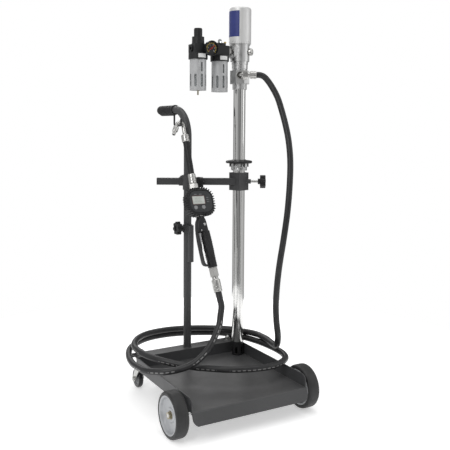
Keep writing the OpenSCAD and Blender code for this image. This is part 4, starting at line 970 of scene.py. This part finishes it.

# gauge: dial face, yellow scale band, ticks and plain numerals
def gauge():
    base = MOTOR @ T(-133, -33, 1158) @ ALONG_NY
    bm = prism_bm(circle(22.2, 64), 5.55, 5.9)
    link("gauge_dial_plate", finish_bm(bm, "dial"), "pump", "dial", None, base, 30)
    # scale arc from 225 to -45 degrees
    bm = bmesh.new()
    def strip(r0, r1, a0, a1, z0, z1, n=40):
        out = [(r1 * math.cos(rad(a0 + (a1 - a0) * k / n)), r1 * math.sin(rad(a0 + (a1 - a0) * k / n))) for k in range(n + 1)]
        inn = [(r0 * math.cos(rad(a0 + (a1 - a0) * k / n)), r0 * math.sin(rad(a0 + (a1 - a0) * k / n))) for k in range(n, -1, -1)]
        prism_bm(out + inn, z0, z1, bm)
    strip(15.9, 16.6, 225, -45, 5.9, 6.1)
    for i in range(11):
        a = 225 - 27 * i
        c, s = math.cos(rad(a)), math.sin(rad(a))
        w = 0.55 if i % 2 == 0 else 0.3
        r0, r1 = (16.2, 20.4) if i % 2 == 0 else (16.2, 18.6)
        prism_bm([(r0 * c + w * s, r0 * s - w * c), (r1 * c + w * s, r1 * s - w * c), (r1 * c - w * s, r1 * s + w * c), (r0 * c - w * s, r0 * s + w * c)], 5.9, 6.1, bm)
    for i in range(51):
        a = 225 - 5.4 * i
        c, s = math.cos(rad(a)), math.sin(rad(a))
        w = 0.14
        r0, r1 = 16.2, 17.6
        prism_bm([(r0 * c + w * s, r0 * s - w * c), (r1 * c + w * s, r1 * s - w * c), (r1 * c - w * s, r1 * s + w * c), (r0 * c - w * s, r0 * s + w * c)], 5.9, 6.08, bm)
    link("gauge_scale", finish_bm(bm, "scale"), "pump", "yellow", None, base, 30)
    # plain seven-bar numerals 0 2 4 6 8 10 inside the scale
    bm = bmesh.new()
    SEG = {"0": "abcdef", "1": "bc", "2": "abged", "4": "fgbc", "6": "afgedc", "8": "abcdefg"}
    def digit(d, cx, cy, w, h, t):
        xs, ys = w / 2, h / 2
        bars = {"a": (0, ys, w, t), "d": (0, -ys, w, t), "g": (0, 0, w, t), "b": (xs, ys / 2, t, ys), "c": (xs, -ys / 2, t, ys), "f": (-xs, ys / 2, t, ys), "e": (-xs, -ys / 2, t, ys)}
        for k in SEG[d]:
            x, y, ww, hh = bars[k]
            prism_bm(rounded_rect(max(ww, t), max(hh, t), t * 0.3, 2, cx + x, cy + y), 5.9, 6.1, bm)
    for i, txt in enumerate(("0", "2", "4", "6", "8", "10")):
        a = 225 - 54 * i
        cx, cy = 12.4 * math.cos(rad(a)), 12.4 * math.sin(rad(a))
        for j, ch in enumerate(txt):
            digit(ch, cx + (j - (len(txt) - 1) / 2) * 2.6, cy, 1.5, 2.9, 0.45)
    link("gauge_numerals", finish_bm(bm, "numerals"), "pump", "white", None, base, 30)
gauge()

# plain label plates and the blue cap panel
def curved_plate(name, r, a0, a1, z0, z1, mat, mtx, body, thick=0.5, n=24, corner=1.2):
    bm = bmesh.new()
    rows = 10
    grid = [[], []]
    for s, rr in enumerate((r, r + thick)):
        for i in range(n + 1):
            a = a0 + (a1 - a0) * i / n
            col = []
            for j in range(rows + 1):
                z = z0 + (z1 - z0) * j / rows
                col.append(bm.verts.new(Vector((rr * math.cos(rad(a)), rr * math.sin(rad(a)), z)) * MM))
            grid[s].append(col)
    for s in (0, 1):
        for i in range(n):
            for j in range(rows):
                bm.faces.new((grid[s][i][j], grid[s][i + 1][j], grid[s][i + 1][j + 1], grid[s][i][j + 1]))
    for i in range(n):
        bm.faces.new((grid[0][i][0], grid[0][i + 1][0], grid[1][i + 1][0], grid[1][i][0]))
        bm.faces.new((grid[0][i][rows], grid[0][i + 1][rows], grid[1][i + 1][rows], grid[1][i][rows]))
    for j in range(rows):
        bm.faces.new((grid[0][0][j], grid[0][0][j + 1], grid[1][0][j + 1], grid[1][0][j]))
        bm.faces.new((grid[0][n][j], grid[0][n][j + 1], grid[1][n][j + 1], grid[1][n][j]))
    bmesh.ops.recalc_face_normals(bm, faces=bm.faces)
    return link(name, finish_bm(bm, name), body, mat, None, mtx, 40)

curved_plate("cap_panel", 38.52, -200, -124, 1206, 1293, "blue", MOTOR, "pump", 0.25)
curved_plate("label_regulator", 32.28, -116, -66, 1127, 1140, "white", MOTOR @ T(RX, 0, 0), "pump", 0.4)
curved_plate("label_lubricator", 31.78, -116, -66, 1123.5, 1136.5, "white", MOTOR @ T(LX, 0, 0), "pump", 0.4)

# ------------------------------------------------------------------ gun
keep("spout_hose", "rubber")
soften("spout_fittings", "nickel", 0.5, 2)
keep("spout_tip", "nickel")
soften("swivel_nut", "nickel", 0.9, 3)

W_, H_, C_, MZ = 94.0, 86.0, 31.0, -2.0
FACE = GUN @ ALONG_NY
BX = (-23.2, 5.8)
BZ = -21.5
def meter_case():
    shell = prism_bm(rounded_rect(W_ - 12, H_ - 12, C_ - 6, 18, 0, MZ), -17, 18.5, bev=2.6, segs=5)
    cut = [prism_bm(rounded_rect(47.2, 29.8, 3.5, 6, -8.75, 3.3), 16.6, 24)]
    for x in BX:
        cut.append(prism_bm(circle(7.3, 40, x, BZ), 9, 24))
    me = joined([shell] + cut, 'DIFFERENCE')
    me.materials.clear()
    link("meter_case_shell", me, "gun", "case", "meter_case", FACE, 35)
    prof = fillet([(0, 30), (10, 30), (10, 44.98), (0, 44.98)], [0, 0.2, 0.5, 0], 3)
    revolve("outlet_boss", prof, "gun", "nickel", GUN @ T(-10, 0, 0), None, 56, closed=False, smooth=35)
meter_case()

# display: window, thin frame, grey bars above it and plain digits
def display():
    bm = prism_bm(rounded_rect(44.3, 27.0, 2.0, 6, -8.75, 3.3), 16.65, 18.0, bev=0.3, segs=2)
    link("display_window", finish_bm(bm, "win"), "gun", "screen", "meter_screen", FACE, 35)
    bm = bmesh.new()
    o_, i_ = rounded_rect(46.8, 29.4, 3.2, 6, -8.75, 3.3), rounded_rect(44.6, 27.3, 2.2, 6, -8.75, 3.3)
    def loop(pts, z):
        return [bm.verts.new(Vector((x, y, z)) * MM) for x, y in pts]
    a, b, c, d = loop(o_, 16.7), loop(o_, 18.72), loop(i_, 18.72), loop(i_, 16.7)
    n = len(o_)
    for p, q in ((a, b), (b, c), (c, d), (d, a)):
        for k in range(n):
            bm.faces.new((p[k], p[(k + 1) % n], q[(k + 1) % n], q[k]))
    bmesh.ops.recalc_face_normals(bm, faces=bm.faces)
    link("display_frame", finish_bm(bm, "frame"), "gun", "frame_red", None, FACE, 35)
    bm = bmesh.new()
    def digit(cx, cy, w, h, t):
        xs, ys = w / 2, h / 2
        bars = {"a": (0, ys, w - t * 0.5, t), "d": (0, -ys, w - t * 0.5, t), "b": (xs, ys / 2, t, ys - t * 0.7), "c": (xs, -ys / 2, t, ys - t * 0.7), "f": (-xs, ys / 2, t, ys - t * 0.7), "e": (-xs, -ys / 2, t, ys - t * 0.7)}
        for k in "abcdef":
            x, y, ww, hh = bars[k]
            prism_bm(rounded_rect(ww, hh, t * 0.3, 2, cx + x, cy + y), 17.95, 18.08, bm)
    for cx in (-17.5, -8.5, 0.5):
        digit(cx, 3.6, 5.2, 11.0, 1.0)
    prism_bm(rounded_rect(1.3, 1.3, 0.3, 2, -4.0, -2.0), 17.95, 18.08, bm)
    link("display_digits", finish_bm(bm, "digits"), "gun", "faint_ink", None, FACE, 35)
    # two pale bars above the window, three small marks at its right
    bm = bmesh.new()
    for x in (-17.5, 1.0):
        prism_bm(rounded_rect(10, 1.5, 0.7, 4, x, 22.6), 18.45, 18.72, bm)
    for y in (10.5, 3.5, -3.5):
        prism_bm(rounded_rect(8.0, 1.3, 0.5, 3, 25.0, y), 18.45, 18.72, bm)
    link("face_marks", finish_bm(bm, "marks"), "gun", "button", None, FACE, 35)
display()
for x, k in zip(BX, ("left", "right")):
    prof = fillet([(0, 12.6), (6.6, 12.6), (6.6, 19.6), (5.2, 20.3), (4.6, 19.9), (0, 20.0)], [0, 0.2, 0.7, 0.5, 0.3, 0], 4)
    revolve("button_%s_cap" % k, prof, "key_" + k, "button", FACE @ T(x, BZ, 0), "button_" + k, 56, closed=False, smooth=35)

def meter_guard():
    """rubber frame of rounded square outline with ribs all round"""
    # outline points with outward normals at even steps
    pts = []
    for (sx, sy, a0) in ((1, 1, 0), (-1, 1, 90), (-1, -1, 180), (1, -1, 270)):
        cx, cy = sx * (W_ / 2 - C_), sy * (H_ / 2 - C_)
        for k in range(61):
            a = rad(a0 + 90 * k / 60)
            pts.append((cx + C_ * math.cos(a), cy + C_ * math.sin(a), math.cos(a), math.sin(a)))
    cum = [0.0]
    m = len(pts)
    for i in range(m):
        p, q = pts[i], pts[(i + 1) % m]
        cum.append(cum[-1] + math.hypot(q[0] - p[0], q[1] - p[1]))
    total, cols, teeth = cum[-1], 532, 38
    even, j = [], 0
    for k in range(cols):
        t = total * k / cols
        while cum[j + 1] < t:
            j += 1
        p, q = pts[j % m], pts[(j + 1) % m]
        w = (t - cum[j]) / max(1e-9, cum[j + 1] - cum[j])
        nx, ny = p[2] + (q[2] - p[2]) * w, p[3] + (q[3] - p[3]) * w
        l = math.hypot(nx, ny)
        even.append((p[0] + (q[0] - p[0]) * w, p[1] + (q[1] - p[1]) * w, nx / l, ny / l, t / total))
    prof = fillet([(-6.0, -17.1), (-9.9, -17.1), (-9.9, -20), (-2.0, -20), (0, -16.5), (0, 15.5), (-2.0, 19), (-4.6, 19.2), (-6.0, 17.6)], [0, 0.3, 0.8, 1.6, 2, 2, 1.5, 0.8, 0.4], 4, closed=True)
    rows = []
    for i in range(len(prof)):
        a, b = prof[i], prof[(i + 1) % len(prof)]
        n = max(1, int(math.hypot(b[0] - a[0], b[1] - a[1]) / 1.6))
        for k in range(n):
            rows.append((a[0] + (b[0] - a[0]) * k / n, a[1] + (b[1] - a[1]) * k / n))
    bm = bmesh.new()
    rings = []
    for (d, h) in rows:
        ring = []
        for (x, y, nx, ny, t) in even:
            dd = d
            if d > -3.2:
                ph = (t * teeth) % 1.0
                edge = min(ph, 1 - ph) * 2
                up = min(1.0, max(0.0, (edge - 0.55) / 0.15))
                up = up * up * (3 - 2 * up)
                fade = max(0.0, min(1.0, (18.6 - h) / 0.8)) * max(0.40, min(1.0, (h + 26) / 40))
                dd = d + 6.0 * up * fade
            ring.append(bm.verts.new(Vector((x + nx * dd, y + ny * dd + MZ, h)) * MM))
        rings.append(ring)
    m = len(rings)
    for i in range(m):
        for k in range(cols):
            bm.faces.new((rings[i][k], rings[i][(k + 1) % cols], rings[(i + 1) % m][(k + 1) % cols], rings[(i + 1) % m][k]))
    bmesh.ops.recalc_face_normals(bm, faces=bm.faces)
    link("meter_guard_frame", finish_bm(bm, "guard"), "gun", "rubber", "meter_guard", FACE, 60)
meter_guard()

def gun_body():
    bm = bmesh.new()
    def ringv(cx, z, a, b, n, count=64):
        return superring(cx, 0, z, a, b, n, count)
    rings = [ringv(-4, -41, 13, 13, 2.0), ringv(-4, -53, 13.4, 13.4, 2.0), ringv(-4, -57, 14.0, 14.0, 2.2), ringv(-4.4, -60, 15.2, 14.6, 2.6), ringv(-5, -64, 16.4, 15.0, 3.0), ringv(-5.6, -70, 17.5, 15.2, 3.4),
             ringv(-6.0, -78, 18.2, 15.3, 3.8), ringv(-6.3, -88, 19.6, 15.2, 4.0), ringv(-6.4, -95, 20.4, 14.8, 4.0), ringv(-6.0, -99.5, 20.0, 14.2, 3.8), ringv(-5.0, -102, 18.2, 13.2, 3.4)]
    loft_bm(rings, bm)
    link("gun_head", finish_bm(bm, "head"), "gun", "rubber", "gun_body", GUN, 45)
    prof = fillet([(13.0, -45.6), (14.6, -45.6), (14.6, -50.4), (13.0, -50.4)], [0, 0.6, 0.6, 0], 3)
    revolve("meter_neck_ring", prof, "gun", "nickel", GUN @ T(-4, 0, 0), None, 72, smooth=40)
    # grip with a chequered band: small pillows in rows
    bm = bmesh.new()
    rings = []
    z = 1.0
    cols = 96
    while z > -118.01:
        t = (1 - z) / 119.0
        a = 14.6 + 1.0 * math.sin(min(1, t * 1.4) * pi) * 0.8
        b = 14.2 + 1.0 * math.sin(t * pi)
        ring = []
        for k in range(cols):
            th = 2 * pi * k / cols
            c, s_ = math.cos(th), math.sin(th)
            n = 2.4
            x = a * math.copysign(abs(c) ** (2 / n), c)
            y = b * math.copysign(abs(s_) ** (2 / n), s_)
            rr = math.hypot(x, y)
            add = 0.0
            if -111 < z < -12:
                fade = min(1, (z + 111) / 4, (-12 - z) / 4)
                pillow = max(0.0, math.sin(z * 2 * pi / 7.8)) ** 0.7 * max(0.0, math.sin(th * 14 + z * 0.25)) ** 0.7 if abs(s_) > 0.25 else 0.0
                add = (1.15 * pillow - 0.4) * fade
                if c < -0.2:
                    add += 0.5 * math.sin((z + 10) / 104 * 2 * pi * 4) * min(1, (-c - 0.2) * 2) * fade
            f = (rr + add) / rr
            px = x * f
            if c < 0 and z > -70 and abs(y * f) < 5.7:
                px += 3.6 * min(1.0, (z + 70) / 4)
            ring.append(Vector((px, y * f, z)) * MM)
        rings.append(ring)
        z -= 0.65
    loft_bm(rings, bm)
    link("gun_grip", finish_bm(bm, "grip"), "gun", "rubber", None, GRIP, 60)
    # trigger guard: a strap down from the head, round and back into the grip's foot
    bm = bmesh.new()
    path = [(-24.5, -95), (-26.0, -101), (-25.4, -115), (-24.4, -135), (-23.2, -157), (-22.0, -180), (-21.0, -197), (-19.4, -204.5), (-15.6, -209.6), (-9.5, -212.0), (-2, -212.8), (5, -213)]
    rings = []
    pts = [Vector((x, 0, z)) for x, z in path]
    for i, p in enumerate(pts):
        d = (pts[min(i + 1, len(pts) - 1)] - pts[max(i - 1, 0)]).normalized()
        side = Vector((d.z, 0, -d.x))
        w = 12.5 * min(1.0, 0.55 + 0.15 * i, 0.55 + 0.15 * (len(pts) - 1 - i))
        ring = []
        for k in range(20):
            th = 2 * pi * k / 20
            c, s_ = math.cos(th), math.sin(th)
            u_ = 1.85 * math.copysign(abs(c) ** 0.75, c)
            v_ = w * math.copysign(abs(s_) ** 0.75, s_)
            ring.append((p + side * u_ + Vector((0, v_, 0))) * MM)
        rings.append(ring)
    loft_bm(rings, bm)
    link("gun_trigger_guard", finish_bm(bm, "tg"), "gun", "rubber", None, GUN, 60)
    # foot collar and neck
    prof = fillet([(0, -116.5), (15.2, -116.5), (15.6, -117.4), (15.2, -119.0), (12.4, -119.8), (12, -121.6), (0, -121.6)], [0, 0.4, 0.6, 0.8, 0.5, 0.5, 0], 4)
    revolve("gun_foot", prof, "gun", "rubber", GRIP, None, 72, closed=False, smooth=40)
    prof = fillet([(11.9, -120.1), (12.5, -120.2), (12.5, -121.5), (11.9, -121.6)], [0, 0.2, 0.2, 0], 3)
    revolve("gun_neck_ring", prof, "gun", "nickel", GRIP, None, 64, smooth=40)
    # screw on the head, pivot pin
    prof = fillet([(0, 14.2), (4.4, 14.2), (4.4, 15.9), (3.4, 16.5), (0, 16.7)], [0, 0.2, 0.4, 0.8, 0], 3)
    revolve("head_screw", prof, "gun", "steel", GUN @ T(0, 0, -78) @ ALONG_NY, None, 40, closed=False, smooth=40)
    prof = fillet([(0, -15.2), (2.4, -15.2), (2.4, 15.2), (0, 15.2)], [0, 0.4, 0.4, 0], 3)
    revolve("trigger_pin", prof, "gun", "steel", GUN @ T(-14, 0, -97) @ ALONG_NY, None, 32, closed=False, smooth=40)
gun_body()

def trigger():
    path = [(-14.5, -95, 4.2), (-14.8, -104, 4.2), (-16.2, -115, 3.9), (-17.2, -128, 3.3), (-17.6, -140, 2.6), (-17.9, -150, 2.1), (-18.2, -161.5, 1.3)]
    bm = bmesh.new()
    rings = []
    pts = [Vector((x, 0, z)) for x, z, t in path]
    for i, p in enumerate(pts):
        d = (pts[min(i + 1, len(pts) - 1)] - pts[max(i - 1, 0)]).normalized()
        side = Vector((d.z, 0, -d.x))
        ring = []
        for k in range(28):
            th = 2 * pi * k / 28
            c, s_ = math.cos(th), math.sin(th)
            u_ = path[i][2] * math.copysign(abs(c) ** 0.7, c)
            v_ = 4.6 * math.copysign(abs(s_) ** 0.7, s_)
            ring.append((p + side * u_ + Vector((0, v_, 0))) * MM)
        rings.append(ring)
    loft_bm(rings, bm)
    for f in bm.faces:
        z = f.calc_center_median().z / MM
        f.material_index = 0 if -141 < z < -103 else 1
    link("trigger_lever", finish_bm(bm, "trg"), "trigger", ["trigger", "black"], "gun_trigger", GUN, 60)
trigger()

# ------------------------------------------------------------------ hose pieces
def hose_link(nm, body, with_repl, blend=None):
    me, line = hoses[nm]
    for _ in range(1):
        me.materials.append(M["hose"])
    o = bpy.data.objects.new(nm + "_tube", me)
    bpy.context.scene.collection.objects.link(o)
    me.shade_smooth()
    return o, line
drop, drop_line = hose_link("hose_drop", "pump", None)
coil, coil_line = hose_link("hose_coil", "chassis", None)
tail, tail_line = hose_link("hose_tail", "gun", None)
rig.blend(drop, "arm", "pump", start=(drop_line[-1].x, drop_line[-1].y, 0.166), end=(drop_line[-1].x, drop_line[-1].y, 1.06))
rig.blend(coil, "chassis", "arm", start=(-0.15, 0, 0.14), end=(0.222, 0, 0.14))
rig.blend(tail, "chassis", "gun", start=(0, 0, 0.16), end=(0, 0, 0.36))
for o, nm in ((drop, "hose_drop"), (coil, "hose_coil"), (tail, "hose_tail")):
    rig.replaces(o, nm)
    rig.slot(o, "hose_rubber")

# the ferrule at the gun's end of the hose
H0 = 10.45
ferr = fillet([(H0, -200), (13.2, -200), (13.8, -198.5), (13.8, -192), (13, -191), (13, -190.4), (13.8, -189.6), (13.8, -182), (13, -181.2), (13, -180.6), (13.8, -179.8), (13.8, -162), (12.6, -160), (10, -159.6), (10, -150.4), (8.98, -150.3), (8.98, -137), (5.2, -137), (5.2, -198.5), (H0, -198.5)],
              [0.3, 0.5] + [0.4] * 14 + [0.3, 0.3, 0, 0], 3)
revolve("gun_hose_ferrule", ferr, "gun", "nickel", GRIP, None, 72, smooth=35)

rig.cord(drop, exit=tuple(drop_line[0]), length=arcs[iJ1] * MM, diameter=0.0206, far_end="object", stiffness="medium", lay="hanging", path=[tuple(p) for p in drop_line])
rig.cord(coil, exit=tuple(coil_line[0]), length=(arcs[iJ2] - arcs[iJ1]) * MM, diameter=0.0206, far_end="object", stiffness="medium", lay="loose", path=[tuple(p) for p in coil_line])
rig.cord(tail, exit=tuple(tail_line[0]), length=(arcs[-1] - arcs[iJ2]) * MM, diameter=0.0206, far_end="object", stiffness="medium", lay="loose", path=[tuple(p) for p in tail_line])

# ------------------------------------------------------------------ floor, light
def stage():
    bm = bmesh.new()
    n, R_ = 96, 1.3
    c = bm.verts.new((0, 0, -0.0002))
    prev = None
    rings = []
    for r in (0.5, 0.9, R_):
        rings.append([bm.verts.new((r * math.cos(2 * pi * k / n), r * math.sin(2 * pi * k / n), -0.0002)) for k in range(n)])
    for k in range(n):
        bm.faces.new((c, rings[0][k], rings[0][(k + 1) % n]))
        for a, b in ((rings[0], rings[1]), (rings[1], rings[2])):
            bm.faces.new((a[k], b[k], b[(k + 1) % n], a[(k + 1) % n]))
    me = finish_bm(bm, "floor")
    o = bpy.data.objects.new("floor", me)
    bpy.context.scene.collection.objects.link(o)
    m = bpy.data.materials.new("floor")
    m.use_nodes = True
    b = m.node_tree.nodes["Principled BSDF"]
    b.inputs["Base Color"].default_value = (0.90, 0.90, 0.90, 1)
    b.inputs["Roughness"].default_value = 0.7
    b.inputs["Emission Color"].default_value = (1, 1, 1, 1)
    tc = m.node_tree.nodes.new("ShaderNodeTexCoord")
    ln_ = m.node_tree.nodes.new("ShaderNodeVectorMath")
    ln_.operation = 'LENGTH'
    m.node_tree.links.new(tc.outputs["Object"], ln_.inputs[0])
    mr = m.node_tree.nodes.new("ShaderNodeMapRange")
    mr.inputs["From Min"].default_value = 0.45
    mr.inputs["From Max"].default_value = 1.15
    mr.inputs["To Min"].default_value = 0.45
    mr.inputs["To Max"].default_value = 0.80
    m.node_tree.links.new(ln_.outputs["Value"], mr.inputs["Value"])
    m.node_tree.links.new(mr.outputs["Result"], b.inputs["Emission Strength"])
    me.materials.append(m)
    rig.stage(o)
stage()

def area(name, loc, target, size, energy, size_y=None, colour=(1, 1, 1)):
    d = bpy.data.lights.new(name, 'AREA')
    d.shape = 'RECTANGLE' if size_y else 'SQUARE'
    d.size = size
    if size_y:
        d.size_y = size_y
    d.energy = energy
    d.color = colour
    o = bpy.data.objects.new(name, d)
    bpy.context.scene.collection.objects.link(o)
    o.location = loc
    o.rotation_euler = (Vector(target) - Vector(loc)).to_track_quat('-Z', 'Y').to_euler()
    return o
area("key", (-2.4, -1.6, 2.9), (0, 0, 0.6), 1.6, 40, 2.2)
area("fill", (2.6, -1.7, 1.8), (0, 0, 0.6), 1.2, 9, 2.2)
area("top", (0.2, 0.2, 3.6), (0, 0, 0.5), 2.4, 30)
area("back", (0.6, 3.0, 2.2), (0, 0, 0.7), 2.0, 20, 1.6)

world = bpy.data.worlds.new("studio")
bpy.context.scene.world = world
world.use_nodes = True
wn, wl = world.node_tree.nodes, world.node_tree.links
wn.clear()
out = wn.new("ShaderNodeOutputWorld")
bg = wn.new("ShaderNodeBackground")
bg.inputs["Strength"].default_value = 1.0
tc = wn.new("ShaderNodeTexCoord")
sx = wn.new("ShaderNodeSeparateXYZ")
wl.new(tc.outputs["Generated"], sx.inputs["Vector"])
at = wn.new("ShaderNodeMath"); at.operation = 'ARCTAN2'
wl.new(sx.outputs["Y"], at.inputs[0]); wl.new(sx.outputs["X"], at.inputs[1])
mr = wn.new("ShaderNodeMapRange")
mr.inputs["From Min"].default_value = -pi
mr.inputs["From Max"].default_value = pi
wl.new(at.outputs[0], mr.inputs["Value"])
rp = wn.new("ShaderNodeValToRGB")
el = rp.color_ramp.elements
def deg(d):
    return ((d + 180) % 360) / 360
stops = [(-180, 0.62), (-160, 0.60), (-152, 0.55), (-147, 0.30), (-125, 0.32), (-112, 0.30), (-107, 0.10), (-100, 0.09), (-95, 0.35), (-88, 0.60), (-60, 0.66), (-30, 0.62), (0, 0.50), (25, 0.25), (60, 0.22), (100, 0.30), (120, 0.50), (150, 0.64), (179, 0.62)]
el[0].position = deg(stops[0][0]); el[0].color = (stops[0][1],) * 3 + (1,)
el[1].position = 1.0; el[1].color = (stops[-1][1],) * 3 + (1,)
for d, v in stops[1:-1]:
    e = el.new(deg(d)); e.color = (v, v, v, 1)
wl.new(mr.outputs["Result"], rp.inputs["Fac"])
lp = wn.new("ShaderNodeLightPath")
mx = wn.new("ShaderNodeMix"); mx.data_type = 'RGBA'
wl.new(lp.outputs["Is Camera Ray"], mx.inputs[0])
wl.new(rp.outputs["Color"], mx.inputs[6])
mx.inputs[7].default_value = (1, 1, 1, 1)
wl.new(mx.outputs[2], bg.inputs["Color"])
wl.new(bg.outputs["Background"], out.inputs["Surface"])

json.dump({"cad": CAD_BOX, "visual": [[float(c) for c in v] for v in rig.bounds()]}, open("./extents.json", "w"))
